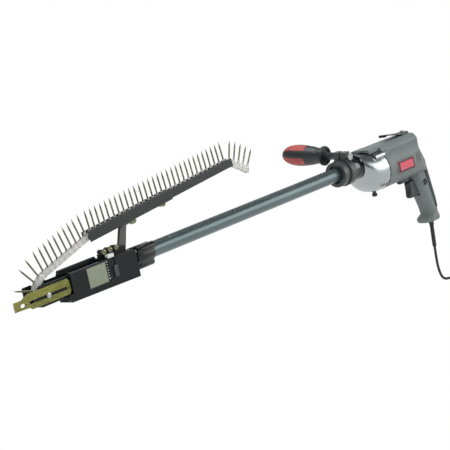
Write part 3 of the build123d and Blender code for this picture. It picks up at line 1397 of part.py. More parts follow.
with BuildPart() as nosepiece:
    with BuildSketch(side(nose_inner_y)):
        with BuildLine():
            Polyline(
                *nose_teeth_line,
                (nose_front_x + NOSE_TIP_LEN, -NOSE_TIP_LOW - NOSE_TIP_FLARE),
                (nose_front_x + NOSE_TIP_LEN + NOSE_LOW - NOSE_TIP_LOW, -NOSE_LOW),
                (nose_back_x - NOSE_BEVEL, -NOSE_LOW),
                (nose_back_x, NOSE_BEVEL - NOSE_LOW),
                (nose_back_x, NOSE_TOP - NOSE_BEVEL),
                (nose_back_x - NOSE_BEVEL, NOSE_TOP),
                (nose_front_x + NOSE_TIP_LEN, NOSE_TOP),
                (nose_front_x + NOSE_TIP_LEN - NOSE_SHOULDER, NOSE_TIP_TOP),
                close=True,
            )
        make_face()
        with Locations((nose_screw_x, -NOSE_SLOT_DROP)):
            SlotOverall(NOSE_SLOT_LEN, NOSE_SLOT_W, mode=Mode.SUBTRACT)
        with Locations((SLIDER_FRONT_X + NOSE_HOLE_X, -NOSE_SLOT_DROP)):
            SlotOverall(NOSE_HOLE_L, NOSE_HOLE_H, mode=Mode.SUBTRACT)
    extrude(amount=PLATE_LAYER)
    with BuildSketch(side(nose_inner_y - PLATE_LAYER)):
        with Locations((nose_screw_x, -NOSE_SLOT_DROP)):
            SlotOverall(NOSE_SLOT_LEN + NOSE_STEP_W - NOSE_SLOT_W, NOSE_STEP_W)
    extrude(amount=-NOSE_STEP_DEPTH, mode=Mode.SUBTRACT)
save(nosepiece, "nosepiece")

with BuildPart() as nosepiece_screw:
    head_y = nose_inner_y - PLATE_LAYER + NOSE_STEP_DEPTH - SEAT_FIT
    with BuildSketch(side(head_y)):
        with Locations((nose_screw_x, -NOSE_SLOT_DROP)):
            Circle(NOSE_SCREW_HEAD_R)
    extrude(amount=NOSE_SCREW_HEAD_T)
    with BuildSketch(side(head_y)):
        with Locations((nose_screw_x, -NOSE_SLOT_DROP)):
            Circle(NOSE_SCREW_R)
    extrude(amount=head_y + NEAR_WALL_IN - SLIDE_GAP)
save(nosepiece_screw, "nosepiece_screw")

# Feed pawl on its pin in the slider's far wall
with BuildPart() as feed_pawl:
    with BuildSketch(side(PAWL_SIDE + PAWL_T)):
        with Locations((SLIDER_FRONT_X + PAWL_X, PAWL_RISE)):
            with Locations(polar(PAWL_LEN / 2, radians(PAWL_LEAN))):
                SlotCenterToCenter(PAWL_LEN, PAWL_W, rotation=PAWL_LEAN)
    extrude(amount=PAWL_T)
    with BuildSketch(side(PAWL_SIDE + PAWL_T)):
        with Locations((SLIDER_FRONT_X + PAWL_X, PAWL_RISE)):
            Circle(PAWL_PIN_R)
    extrude(amount=PAWL_SIDE + PAWL_T - FAR_WALL_OUT)
save(feed_pawl, "feed_pawl")

# Wound paths: each step between two points with known directions is a pair of tangent arcs


def biarc_path(points, tangents):
    for start, leave, end, arrive in zip(points, tangents, points[1:], tangents[1:]):
        chord = end - start
        along = chord.dot(leave + arrive)
        bend = 2 * (1 - leave.dot(arrive))
        if bend < PARALLEL:
            reach = chord.dot(chord) / (2 * along)
        else:
            reach = (sqrt(along**2 + bend * chord.dot(chord)) - along) / bend
        middle = (start + end + (leave - arrive) * reach) / 2
        middle_tangent = ((end - arrive * reach) - (start + leave * reach)).normalized()
        TangentArc(start, middle, tangent=leave)
        TangentArc(middle, end, tangent=middle_tangent)


def start_plane(path):
    return Plane(origin=path @ 0, z_dir=path % 0)


def print_sweep(name, piece, path, radius):
    """Prints the path's length and how close the swept volume is to section times length."""
    expected = pi * radius**2 * path.length
    print(name, "length", round(path.length, 1), "volume ratio", round(piece.part.volume / expected, 4))


def least_gap(points, spacing, diameter):
    """Smallest clear gap between stretches of one tube that are more than a half loop apart."""
    skip = int(spacing)
    best = min(dist(tuple(a), tuple(b)) for i, a in enumerate(points) for b in points[i + skip:])
    return best - diameter


# Return spring round the bit, between the slider's bulkhead and the head's block
spring_front_x = SLIDER_REAR_X + SPRING_GAP + SPRING_WIRE_R
spring_rear_x = BLOCK_FRONT_X - SPRING_GAP - SPRING_WIRE_R
spring_lead = (spring_rear_x - spring_front_x) / SPRING_TURNS
spring_slope = spring_lead / (2 * pi)


def spring_point(turn):
    angle = 2 * pi * turn
    return Vector(spring_front_x + spring_lead * turn, SPRING_R * cos(angle), AXIS_Z + SPRING_R * sin(angle))


def spring_tangent(turn):
    angle = 2 * pi * turn
    return Vector(spring_slope, -SPRING_R * sin(angle), SPRING_R * cos(angle)).normalized()


spring_turns = [step / 2 for step in range(2 * SPRING_TURNS + 1)]

with BuildPart() as return_spring:
    with BuildLine() as spring_path:
        biarc_path(
            [spring_point(turn) for turn in spring_turns],
            [spring_tangent(turn) for turn in spring_turns],
        )
    with BuildSketch(start_plane(spring_path.wire())):
        Circle(SPRING_WIRE_R)
    sweep(path=spring_path.wire())
print_sweep("return spring", return_spring, spring_path.wire(), SPRING_WIRE_R)
save(return_spring, "return_spring")

# Screw strip: legs of its path as (length, bend radius), from the lead screw to the tail
guide_len = GUIDE_R * radians(90 - LEAD_ANGLE - GUIDE_EXIT)
ease_len = EASE_R * radians(GUIDE_EXIT - SPAN_SLOPE)
mouth_len = MOUTH_R * radians(SPAN_SLOPE - RAIL_TILT)
tail_len = TAIL_R * radians(TAIL_TURN)
strip_len = (SCREW_COUNT - 1) * PITCH + BAND_END
droop_len = strip_len - guide_len - ease_len - SPAN_RUN - mouth_len - RAIL_RUN - tail_len
strip_legs = [
    (guide_len, GUIDE_R),
    (ease_len, EASE_R),
    (SPAN_RUN, None),
    (mouth_len, MOUTH_R),
    (RAIL_RUN, None),
    (tail_len, TAIL_R),
    (droop_len, DROOP_R),
]
rail_start = guide_len + ease_len + SPAN_RUN + mouth_len


def strip_at(travel, rise=0.0):
    """Point (x, z from the drive axis) and heading on the strip, rise above its pitch line."""
    heading = radians(90 - LEAD_ANGLE)
    x = GUIDE_X - GUIDE_R * cos(radians(LEAD_ANGLE))
    z = GUIDE_RISE + GUIDE_R * sin(radians(LEAD_ANGLE))
    for length, bend in strip_legs:
        step = min(travel, length)
        if bend is None:
            x += step * cos(heading)
            z += step * sin(heading)
        else:
            turned = heading - step / bend
            x += bend * (sin(heading) - sin(turned))
            z += bend * (cos(turned) - cos(heading))
            heading = turned
        travel -= step
        if travel <= 0:
            break
    return (x - rise * sin(heading), z + rise * cos(heading)), heading


def strip_plane(travel):
    """Plane at a screw's seat, its z axis along the screw towards the point."""
    (x, z), heading = strip_at(travel, -SEAT_HEIGHT)
    return Plane(origin=(x, 0, AXIS_Z + z), x_dir=(0, 1, 0), z_dir=(-sin(heading), 0, cos(heading)))


def straight_leg(start, end):
    first, last = strip_at(start)[1], strip_at(end)[1]
    return abs(first - last) < PARALLEL


def band_edges(start, end):
    with BuildLine() as outline:
        stops = [start]
        reached = 0.0
        for length, bend in strip_legs:
            reached += length
            if start < reached < end:
                stops.append(reached)
        stops.append(end)
        for rise in (BAND_HIGH, -BAND_LOW):
            for first, last in zip(stops, stops[1:]):
                if straight_leg(first, last):
                    Line(strip_at(first, rise)[0], strip_at(last, rise)[0])
                else:
                    spots = (first, (first + last) / 2, last)
                    ThreePointArc(*[strip_at(spot, rise)[0] for spot in spots])
        Line(strip_at(start, BAND_HIGH)[0], strip_at(start, -BAND_LOW)[0])
        Line(strip_at(end, BAND_HIGH)[0], strip_at(end, -BAND_LOW)[0])
    return outline.edges()


with BuildPart() as strip_screw:
    with BuildSketch(Plane.XZ):
        with BuildLine():
            Polyline(
                (0, 0),
                (STRIP_HEAD_R, 0),
                (STRIP_SHANK_R, STRIP_HEAD_H),
                (STRIP_SHANK_R, STRIP_SCREW_LEN - STRIP_POINT_LEN),
                (STRIP_POINT_R, STRIP_SCREW_LEN),
                (0, STRIP_SCREW_LEN),
                close=True,
            )
        make_face()
    revolve(axis=Axis.Z)

span_first = FRONT_SCREWS
rail_first = FRONT_SCREWS + SPAN_SCREWS
band_split_front = span_first * PITCH - PITCH / 2
band_split_rail = rail_first * PITCH - PITCH / 2


def save_strip(name, first, last, start, end):
    with BuildPart() as screws:
        with Locations(*[strip_plane(number * PITCH) for number in range(first, last)]):
            add(strip_screw.part)
    save(screws, f"screws_{name}")
    with BuildPart() as band:
        with BuildSketch(side()):
            make_face(band_edges(start, end))
        extrude(amount=BAND_T / 2, both=True)
    save(band, f"band_{name}")


save_strip("front", 0, span_first, -BAND_END, band_split_front)
save_strip("span", span_first, rail_first, band_split_front, band_split_rail)
save_strip("rail", rail_first, SCREW_COUNT, band_split_rail, strip_len)

# Rail: an outer sleeve with an open fork at its mouth, and the inner rail that slides in it
rail_heading = radians(RAIL_TILT)
rail_point = strip_at(rail_start)[0]


def rail_plane(along):
    """Plane square to the rail: local x is +Y and local y is away from the tool."""
    x = rail_point[0] + along * cos(rail_heading)
    z = rail_point[1] + along * sin(rail_heading)
    return Plane(origin=(x, 0, AXIS_Z + z), x_dir=(0, 1, 0), z_dir=(cos(rail_heading), 0, sin(rail_heading)))


def channel(half, floor, lip, thick):
    outer_h = floor + lip + thick
    inner_h = floor + lip - thick
    with Locations((0, (lip - floor - thick) / 2)):
        Rectangle(2 * (half + thick), outer_h)
    with Locations((0, (lip - thick - floor) / 2)):
        Rectangle(2 * half, inner_h, mode=Mode.SUBTRACT)
    with Locations((0, lip)):
        Rectangle(2 * RAIL_SLOT_HALF, 4 * thick, mode=Mode.SUBTRACT)


sleeve_half = RAIL_IN_HALF + RAIL_T + SLEEVE_GAP
sleeve_floor = RAIL_FLOOR + RAIL_T + SLEEVE_GAP
sleeve_lip = RAIL_LIP + SLEEVE_GAP + SLEEVE_T
sleeve_rear = SLEEVE_LEN - SLEEVE_FRONT
strut_bolt = STRUT_HEAD_ALONG + STRUT_W + RAIL_BOLT_BACK
sleeve_bolt = sleeve_rear - SLEEVE_BOLT_BACK


def rail_bolt_plane(along, depth):
    """Plane under the rail facing into it, depth below the strip's pitch line."""
    base = rail_plane(along)
    return Plane(origin=base.origin - base.y_dir * depth, x_dir=(0, 1, 0), z_dir=base.y_dir)


with BuildPart() as rail_front:
    with BuildSketch(rail_plane(-SLEEVE_FRONT)):
        channel(sleeve_half, sleeve_floor, sleeve_lip, SLEEVE_T)
    extrude(amount=SLEEVE_LEN)
    with BuildSketch(rail_plane(-SLEEVE_FRONT)):
        with Locations((0, -sleeve_floor - SLEEVE_T / 2)):
            Rectangle(2 * sleeve_half, 2 * SLEEVE_T)
    extrude(amount=FORK_LEN, mode=Mode.SUBTRACT)
    for along in (strut_bolt, sleeve_bolt):
        with BuildSketch(rail_bolt_plane(along, sleeve_floor + SLEEVE_T)):
            Circle(RAIL_BOLT_R + SEAT_FIT)
        extrude(amount=SLEEVE_T, mode=Mode.SUBTRACT)
save(rail_front, "rail_front")

with BuildPart() as rail_rear:
    with BuildSketch(rail_plane(RAIL_START)):
        channel(RAIL_IN_HALF, RAIL_FLOOR, RAIL_LIP, RAIL_T)
    extrude(amount=RAIL_LEN)
    with BuildSketch(rail_plane(RAIL_START + RAIL_LEN)):
        with Locations((0, -RAIL_FLOOR - RAIL_T / 2)):
            Rectangle(2 * RAIL_IN_HALF, 2 * RAIL_T)
    extrude(amount=-RAIL_MOUTH_LEN, mode=Mode.SUBTRACT)
    for along in (strut_bolt, sleeve_bolt):
        with BuildSketch(rail_bolt_plane(along, RAIL_FLOOR + RAIL_T)):
            Circle(RAIL_BOLT_R + SEAT_FIT)
        extrude(amount=RAIL_T, mode=Mode.SUBTRACT)
save(rail_rear, "rail_rear")

# Strut from the head to the rail: one bent plate with a bar along the head and a flange under the rail
strut_foot_x = rail_point[0] + STRUT_FOOT_ALONG
strut_low = sleeve_floor + SLEEVE_T


def under_rail(along, drop):
    base = rail_plane(along)
    spot = base.origin - base.y_dir * (strut_low + drop)
    return (spot.X, spot.Z - AXIS_Z)


strut_top_front = under_rail(STRUT_HEAD_ALONG, 0)
flange_rear = strut_bolt + RAIL_BOLT_HEAD_R
strut_top_rear = under_rail(STRUT_HEAD_ALONG + STRUT_W, STRUT_FLANGE_T)

with BuildPart() as rail_strut:
    with BuildSketch(side()):
        with BuildLine():
            Polyline(
                (strut_foot_x, HEAD_TOP),
                (strut_foot_x - STRUT_W - STRUT_BAR_LEN, HEAD_TOP),
                (strut_foot_x - STRUT_W - STRUT_BAR_LEN, HEAD_TOP + STRUT_BAR_H),
                (strut_foot_x - STRUT_W, HEAD_TOP + STRUT_BAR_H),
                strut_top_front,
                under_rail(flange_rear, 0),
                under_rail(flange_rear, STRUT_FLANGE_T),
                strut_top_rear,
                close=True,
            )
        make_face()
    extrude(amount=STRUT_T / 2, both=True)
    with BuildSketch(side(STRUT_T)):
        with BuildLine():
            Polyline(
                under_rail(STRUT_HEAD_ALONG, 0),
                under_rail(flange_rear, 0),
                under_rail(flange_rear, STRUT_FLANGE_T),
                under_rail(STRUT_HEAD_ALONG, STRUT_FLANGE_T),
                close=True,
            )
        make_face()
    extrude(amount=2 * STRUT_T)
    with BuildSketch(rail_bolt_plane(strut_bolt, strut_low + STRUT_FLANGE_T)):
        Circle(RAIL_BOLT_R + SEAT_FIT)
    extrude(amount=STRUT_FLANGE_T, mode=Mode.SUBTRACT)
    bracket_x = strut_foot_x - STRUT_W - STRUT_BAR_LEN + BRACKET_EDGE
    bracket_z = HEAD_TOP + BRACKET_RISE
    bracket_points = [(bracket_x + BRACKET_PITCH * spot, bracket_z) for spot in range(BRACKET_COUNT)]
    with BuildSketch(side()):
        with Locations(*bracket_points):
            Circle(BRACKET_LUG_R)
    extrude(amount=STRUT_T / 2, both=True)
    with BuildSketch(side(STRUT_T)):
        with Locations(*bracket_points):
            Circle(BRACKET_SCREW_R + SEAT_FIT)
    extrude(amount=2 * STRUT_T, mode=Mode.SUBTRACT)
save(rail_strut, "rail_strut")

# Frame between the head's cheeks, with a saddle that the strut's bar is screwed to
saddle_y = -STRUT_T / 2 - SADDLE_T

with BuildPart() as head_frame:
    frame_floor = -SLIDER_LOW - SLIDE_GAP
    floor_front_x = HEAD_FRONT_X + HEAD_CHAMFER
    with BuildSketch(side(CHEEK_IN)):
        with BuildLine():
            Polyline(
                (floor_front_x, -HEAD_LOW),
                (HEAD_REAR_X, -HEAD_REAR_LOW),
                (HEAD_REAR_X, HEAD_TOP - HEAD_REAR_STEP),
                (HEAD_REAR_X - HEAD_REAR_STEP, HEAD_TOP),
                (BLOCK_FRONT_X, HEAD_TOP),
                (BLOCK_FRONT_X, frame_floor),
                (floor_front_x, frame_floor),
                close=True,
            )
        make_face()
    extrude(amount=2 * CHEEK_IN)
    with BuildSketch(across(HEAD_REAR_X)):
        Circle(BLOCK_BORE_R)
    extrude(amount=BIT_BUSH_LEN - BLOCK_LEN, mode=Mode.SUBTRACT)
    with BuildSketch(across(BLOCK_FRONT_X)):
        Circle(BIT_R + RUN_FIT)
    extrude(amount=BIT_BUSH_LEN, mode=Mode.SUBTRACT)
    with BuildSketch(side(-STRUT_T / 2)):
        with Locations((HEAD_REAR_X - SADDLE_BACK - SADDLE_L / 2, HEAD_TOP + SADDLE_H / 2)):
            Rectangle(SADDLE_L, SADDLE_H)
        with Locations(*bracket_points):
            Circle(BRACKET_LUG_R)
    extrude(amount=SADDLE_T)
    with BuildSketch(side(-STRUT_T / 2)):
        with Locations(*bracket_points):
            Circle(BRACKET_SCREW_R + SEAT_FIT)
    extrude(amount=SADDLE_T, mode=Mode.SUBTRACT)
save(head_frame, "head_frame")

with BuildPart() as rail_screws:
    with BuildSketch(side(saddle_y)):
        with Locations(*bracket_points):
            Circle(BRACKET_HEAD_R)
    extrude(amount=BRACKET_HEAD_T)
    with BuildSketch(side(saddle_y)):
        with Locations(*bracket_points):
            Circle(BRACKET_SCREW_R)
    extrude(amount=saddle_y - STRUT_T)
    for along, depth in ((strut_bolt, strut_low + STRUT_FLANGE_T), (sleeve_bolt, strut_low)):
        with BuildSketch(rail_bolt_plane(along, depth)):
            RegularPolygon(RAIL_BOLT_HEAD_R, 6)
        extrude(amount=-RAIL_BOLT_HEAD_T)
        with BuildSketch(rail_bolt_plane(along, depth)):
            Circle(RAIL_BOLT_R)
        extrude(amount=depth - RAIL_FLOOR)
save(rail_screws, "rail_screws")

# Side handle: the clamp on the collar, its bolt, and the handle that screws on it
tilt = radians(HANDLE_TILT)
handle_dir = Vector(0, cos(tilt), sin(tilt))
handle_up = Vector(0, -sin(tilt), cos(tilt))
handle_root = Vector(CLAMP_X, 0, AXIS_Z) + handle_up * HANDLE_RISE


def clamp_plane(x):
    return Plane(origin=(x, 0, AXIS_Z), x_dir=tuple(handle_dir), z_dir=(1, 0, 0))


def handle_plane(along):
    return Plane(origin=handle_root + handle_dir * along, x_dir=(1, 0, 0), z_dir=tuple(handle_dir))


with BuildPart() as clamp_ring:
    with BuildSketch(clamp_plane(CLAMP_X - CLAMP_W / 2)):
        Circle(COLLAR_R + CLAMP_T)
        with Locations((0, (COLLAR_R + EAR_TOP) / 2)):
            Rectangle(2 * EAR_HALF, EAR_TOP - COLLAR_R)
        Circle(COLLAR_R + RUN_FIT, mode=Mode.SUBTRACT)
        with Locations((0, COLLAR_R + EAR_TOP / 2)):
            Rectangle(CLAMP_SLIT, EAR_TOP + CLAMP_T, mode=Mode.SUBTRACT)
    extrude(amount=CLAMP_W)
    with BuildSketch(handle_plane(EAR_HALF)):
        Circle(ARM_R)
    extrude(amount=ARM_END - EAR_HALF)
    with BuildSketch(handle_plane(-EAR_HALF)):
        Circle(CLAMP_BOLT_R + RUN_FIT)
    extrude(amount=EAR_HALF + ARM_END, mode=Mode.SUBTRACT)
save(clamp_ring, "clamp_ring")

with BuildPart() as clamp_bolt:
    with BuildSketch(handle_plane(-EAR_HALF)):
        RegularPolygon(CLAMP_HEX_R, 6)
    extrude(amount=-CLAMP_HEX_T)
    with BuildSketch(handle_plane(-EAR_HALF)):
        Circle(CLAMP_BOLT_R)
    extrude(amount=EAR_HALF + CLAMP_BOLT_REACH)
save(clamp_bolt, "clamp_bolt")


neck_len = (HANDLE_MID - HANDLE_NECK) / sqrt(1 - (HANDLE_NECK_R / HANDLE_MAX_R) ** 2)
handle_end = HANDLE_MID + HANDLE_END_LEN


def skin_turn(along):
    length = HANDLE_END_LEN if along > HANDLE_MID else neck_len
    return asin((along - HANDLE_MID) / length)


def skin_points(offset, low, high):
    """Points on the handle's oval skin, moved out by an offset, from one place along it to another."""
    first = skin_turn(low)
    step = (skin_turn(high) - first) / SKIN_STEPS
    points = []
    for count in range(SKIN_STEPS + 1):
        angle = first + step * count
        length = HANDLE_END_LEN if angle > 0 else neck_len
        points.append(((HANDLE_MAX_R + offset) * cos(angle), HANDLE_MID + (length + offset) * sin(angle)))
    return points


with BuildPart() as handle_form:
    with BuildSketch(Plane.XZ):
        with BuildLine():
            neck_turn = skin_turn(HANDLE_NECK)
            neck_way = (-HANDLE_MAX_R * sin(neck_turn), neck_len * cos(neck_turn))
            Spline(*skin_points(0, HANDLE_NECK, handle_end), tangents=[neck_way, (-1, 0)])
            Polyline((0, handle_end), (0, HANDLE_NECK), (HANDLE_NECK_R, HANDLE_NECK))
        make_face()
    revolve(axis=Axis.Z)

with BuildPart() as inlay:
    with BuildSketch(Plane.XZ):
        with BuildLine():
            inlay_outer = Spline(*skin_points(INSERT_PROUD, INSERT_START, INSERT_END))
            inlay_inner = Spline(*skin_points(-INSERT_DEPTH, INSERT_START, INSERT_END))
            Line(inlay_outer @ 0, inlay_inner @ 0)
            Line(inlay_outer @ 1, inlay_inner @ 1)
        make_face()
    revolve(axis=Axis.Z, revolution_arc=INSERT_ARC)

with BuildPart() as end_ring:
    with BuildSketch(Plane.XZ):
        with BuildLine():
            ring_outer = Spline(*skin_points(INSERT_PROUD, INSERT_END + SLIDE_GAP, RING_END))
            ring_inner = Spline(*skin_points(-RING_DEPTH, INSERT_END + SLIDE_GAP, RING_END))
            Line(ring_outer @ 0, ring_inner @ 0)
            Line(ring_outer @ 1, ring_inner @ 1)
        make_face()
    revolve(axis=Axis.Z)

with BuildPart() as handle_inserts:
    with Locations(handle_plane(0)):
        with PolarLocations(0, INSERT_COUNT, INSERT_TURN):
            add(inlay.part)
        add(end_ring.part)
save(handle_inserts, "handle_inserts")

with BuildPart() as handle_core:
    with BuildSketch(handle_plane(HANDLE_START)):
        Circle(HANDLE_FLANGE_R)
    extrude(amount=HANDLE_FLANGE_T)
    fillet(handle_core.edges().filter_by(GeomType.CIRCLE), KNOB_ROUND)
    with BuildSketch(handle_plane(HANDLE_START + HANDLE_FLANGE_T)):
        Circle(HANDLE_NECK_R)
    extrude(amount=HANDLE_NECK - HANDLE_START - HANDLE_FLANGE_T)
    with Locations(handle_plane(0)):
        add(handle_form.part)
    with BuildSketch(handle_plane(HANDLE_START)):
        Circle(HANDLE_CUP_R)
        Circle(ARM_R + KNOB_ROUND, mode=Mode.SUBTRACT)
    extrude(amount=HANDLE_CUP_DEPTH, mode=Mode.SUBTRACT)
    with BuildSketch(handle_plane(HANDLE_START)):
        Circle(CLAMP_BOLT_R + RUN_FIT)
    extrude(amount=CLAMP_BOLT_REACH + END_PLAY - HANDLE_START, mode=Mode.SUBTRACT)
    add(handle_inserts.part, mode=Mode.SUBTRACT)
save(handle_core, "handle_core")

# Strain relief and the cord's free stretch
relief_axis = Vector(*RELIEF_END) - Vector(*RELIEF_TOP)
relief_len = relief_axis.length
relief_plane = Plane(origin=RELIEF_TOP, x_dir=(0, 1, 0), z_dir=tuple(relief_axis.normalized()))

with BuildPart() as cord_relief:
    with BuildSketch(relief_plane):
        Circle(RELIEF_TOP_R)
    with BuildSketch(relief_plane.offset(RELIEF_TAPER)):
        Circle(RELIEF_R)
    loft()
    with BuildSketch(relief_plane.offset(RELIEF_TAPER)):
        Circle(RELIEF_R)
    extrude(amount=relief_len - RELIEF_TAPER)
    ring_step = (relief_len - RELIEF_TAPER) / (RELIEF_RINGS + 1)
    for ring in range(RELIEF_RINGS):
        with BuildSketch(relief_plane.offset(RELIEF_TAPER + ring_step * (ring + 1))):
            Circle(RELIEF_R + RELIEF_RING_R)
        extrude(amount=ring_step / 2)
    split(bisect_by=Plane.XY.offset(FOOT_Z), keep=Keep.BOTTOM)
save(cord_relief, "cord_relief")

cord_corners = [Vector(*point) for point in CORD_POINTS]
cord_radii = []
for before, corner, after in zip(cord_corners, cord_corners[1:], cord_corners[2:]):
    turn = (corner - before).get_angle(after - corner)
    shorter = min((corner - before).length, (after - corner).length)
    cord_radii.append(CORD_BEND_SHARE * shorter / tan(radians(turn / 2)))
print("cord radii", [round(radius, 1) for radius in cord_radii])

with BuildPart() as cord_lead:
    with BuildLine() as lead_path:
        FilletPolyline(*cord_corners, radius=cord_radii)
    with BuildSketch(start_plane(lead_path.wire())):
        Circle(CORD_R)
    sweep(path=lead_path.wire())
print_sweep("cord lead", cord_lead, lead_path.wire(), CORD_R)
save(cord_lead, "cord_lead")

# Put-away coil: it spirals in and out in layers, climbing down a layer where the spiral reverses
coil_end_run = 2 * CORD_R
coil_start = cord_corners[-1] + Vector(coil_end_run, 0, 0)
coil_centre = coil_start - Vector(0, COIL_OUTER_R, 0)
coil_inner_r = COIL_OUTER_R - COIL_TURN_STEP * COIL_LAYER_TURNS
coil_cycle = COIL_LAYER_TURNS + COIL_CLIMB_TURNS
coil_turns = COIL_LAYERS * coil_cycle - COIL_CLIMB_TURNS


def coil_state(turn):
    """Radius, its rate, drop and its rate, each per turn, after a number of turns."""
    layer = min(int(turn / coil_cycle), COIL_LAYERS - 1)
    into = turn - layer * coil_cycle
    inward = layer % 2 == 0
    radius_end = coil_inner_r if inward else COIL_OUTER_R
    radius_start = COIL_OUTER_R if inward else coil_inner_r
    rate = -COIL_TURN_STEP if inward else COIL_TURN_STEP
    if into <= COIL_LAYER_TURNS:
        return radius_start + rate * into, rate, layer * COIL_LAYER_STEP, 0.0
    climb = (into - COIL_LAYER_TURNS) / COIL_CLIMB_TURNS
    eased = (1 - cos(pi * climb)) / 2
    eased_rate = pi * sin(pi * climb) / (2 * COIL_CLIMB_TURNS)
    return radius_end, 0.0, (layer + eased) * COIL_LAYER_STEP, eased_rate * COIL_LAYER_STEP


def coil_point(turn):
    radius, rate, drop, drop_rate = coil_state(turn)
    angle = pi / 2 - 2 * pi * turn
    return coil_centre + Vector(radius * cos(angle), radius * sin(angle), -drop)


def coil_tangent(turn):
    radius, rate, drop, drop_rate = coil_state(turn)
    angle = pi / 2 - 2 * pi * turn
    swing = 2 * pi * radius
    across_x = rate * cos(angle) + swing * sin(angle)
    across_y = rate * sin(angle) - swing * cos(angle)
    return Vector(across_x, across_y, -drop_rate).normalized()


coil_steps = [step / 4 for step in range(int(4 * coil_turns) + 1)]
coil_points = [coil_point(step) for step in coil_steps]
coil_tangents = [coil_tangent(step) for step in coil_steps]
coil_tangents[0] = Vector(1, 0, 0)
lead_out_dir = Vector(coil_tangents[-1].X, coil_tangents[-1].Y, 0).normalized()
coil_tangents[-1] = lead_out_dir
lead_out_end = coil_points[-1] + lead_out_dir * COIL_LEAD_OUT + Vector(0, 0, COIL_END_RISE)
coil_points.append(lead_out_end)
coil_tangents.append(lead_out_dir)
cord_end = lead_out_end + lead_out_dir * coil_end_run

with BuildPart() as cord_coil:
    with BuildLine() as coil_path:
        Line(cord_corners[-1], coil_start)
        biarc_path(coil_points, coil_tangents)
        Line(lead_out_end, cord_end)
    with BuildSketch(start_plane(coil_path.wire())):
        Circle(CORD_R)
    sweep(path=coil_path.wire())
print_sweep("cord coil", cord_coil, coil_path.wire(), CORD_R)
save(cord_coil, "cord_coil")

coil_cloud = [coil_point(step / GAP_SAMPLES) for step in range(int(coil_turns * GAP_SAMPLES))]
print("coil gap to itself", round(least_gap(coil_cloud, GAP_SAMPLES / 2, 2 * CORD_R), 2))

# Tie round the coil's bundle
tie_angle = radians(TIE_ANGLE)
tie_dir = Vector(cos(tie_angle), sin(tie_angle), 0)
tie_mid_r = (COIL_OUTER_R + coil_inner_r) / 2
tie_inner_w = COIL_OUTER_R - coil_inner_r + 2 * CORD_R + 2 * TIE_GAP
tie_inner_h = (COIL_LAYERS - 1) * COIL_LAYER_STEP + 2 * CORD_R + 2 * TIE_GAP
tie_mid = coil_centre + tie_dir * tie_mid_r - Vector(0, 0, (COIL_LAYERS - 1) * COIL_LAYER_STEP / 2)
tie_plane = Plane(origin=tie_mid, x_dir=tuple(tie_dir), z_dir=(-sin(tie_angle), cos(tie_angle), 0))

with BuildPart() as coil_tie:
    with BuildSketch(tie_plane):
        RectangleRounded(tie_inner_w + 2 * TIE_T, tie_inner_h + 2 * TIE_T, CORD_R)
        Rectangle(tie_inner_w, tie_inner_h, mode=Mode.SUBTRACT)
    extrude(amount=TIE_W / 2, both=True)
save(coil_tie, "coil_tie")

# Flat two-pin plug at the end of the cord
plug_plane = Plane(origin=cord_end, x_dir=(-lead_out_dir.Y, lead_out_dir.X, 0), z_dir=tuple(lead_out_dir))

with BuildPart() as plug_body:
    with BuildSketch(plug_plane):
        Circle(PLUG_NECK_R)
    extrude(amount=PLUG_NECK_L)
    with BuildSketch(plug_plane.offset(PLUG_NECK_L)):
        RectangleRounded(PLUG_W, PLUG_T, PLUG_ROUND)
    extrude(amount=PLUG_L)
    with BuildSketch(plug_plane.offset(PLUG_NECK_L + PLUG_L)):
        with GridLocations(PIN_SPACING, 1, 2, 1):
            Circle(PIN_ROOT_R + SEAT_FIT)
    extrude(amount=-PIN_ROOT, mode=Mode.SUBTRACT)
save(plug_body, "plug_body")

with BuildPart() as plug_pins:
    with BuildSketch(plug_plane.offset(PLUG_NECK_L + PLUG_L)):
        with GridLocations(PIN_SPACING, 1, 2, 1):
            Circle(PIN_ROOT_R)
    extrude(amount=-PIN_ROOT)
    with BuildSketch(plug_plane.offset(PLUG_NECK_L + PLUG_L)):
        with GridLocations(PIN_SPACING, 1, 2, 1):
            Circle(PIN_R)
    extrude(amount=PIN_LEN)
save(plug_pins, "plug_pins")

print("feed guide", round(GUIDE_X, 2), "strip rail start", [round(value, 3) for value in rail_point])
print("clamp", round(CLAMP_X, 2), [round(value, 3) for value in handle_root])
print("plug face", [round(value, 3) for value in plug_plane.offset(PLUG_NECK_L + PLUG_L).origin])
print("plug way", [round(value, 6) for value in lead_out_dir])
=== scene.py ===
import math

import bmesh
import bpy
import numpy as np
from mathutils import Matrix, Vector


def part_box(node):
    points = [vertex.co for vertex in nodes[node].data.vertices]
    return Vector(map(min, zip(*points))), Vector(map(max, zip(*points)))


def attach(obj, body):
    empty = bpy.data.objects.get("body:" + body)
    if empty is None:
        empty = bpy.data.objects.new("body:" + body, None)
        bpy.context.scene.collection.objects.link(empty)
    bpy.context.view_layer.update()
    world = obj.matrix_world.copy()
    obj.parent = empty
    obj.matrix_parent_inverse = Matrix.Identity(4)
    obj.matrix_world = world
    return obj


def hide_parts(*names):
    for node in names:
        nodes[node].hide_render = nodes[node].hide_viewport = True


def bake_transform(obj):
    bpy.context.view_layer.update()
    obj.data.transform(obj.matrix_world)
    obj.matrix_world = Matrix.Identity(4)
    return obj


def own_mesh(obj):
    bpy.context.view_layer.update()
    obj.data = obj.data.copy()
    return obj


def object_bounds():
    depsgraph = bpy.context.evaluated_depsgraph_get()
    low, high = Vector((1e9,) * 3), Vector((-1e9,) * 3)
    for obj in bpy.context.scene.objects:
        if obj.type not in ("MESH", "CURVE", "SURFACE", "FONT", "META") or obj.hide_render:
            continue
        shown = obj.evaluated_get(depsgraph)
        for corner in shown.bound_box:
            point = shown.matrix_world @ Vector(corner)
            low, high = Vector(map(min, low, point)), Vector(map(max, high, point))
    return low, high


# Auto-feed screwdriver: finishes, threads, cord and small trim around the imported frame, in metres.

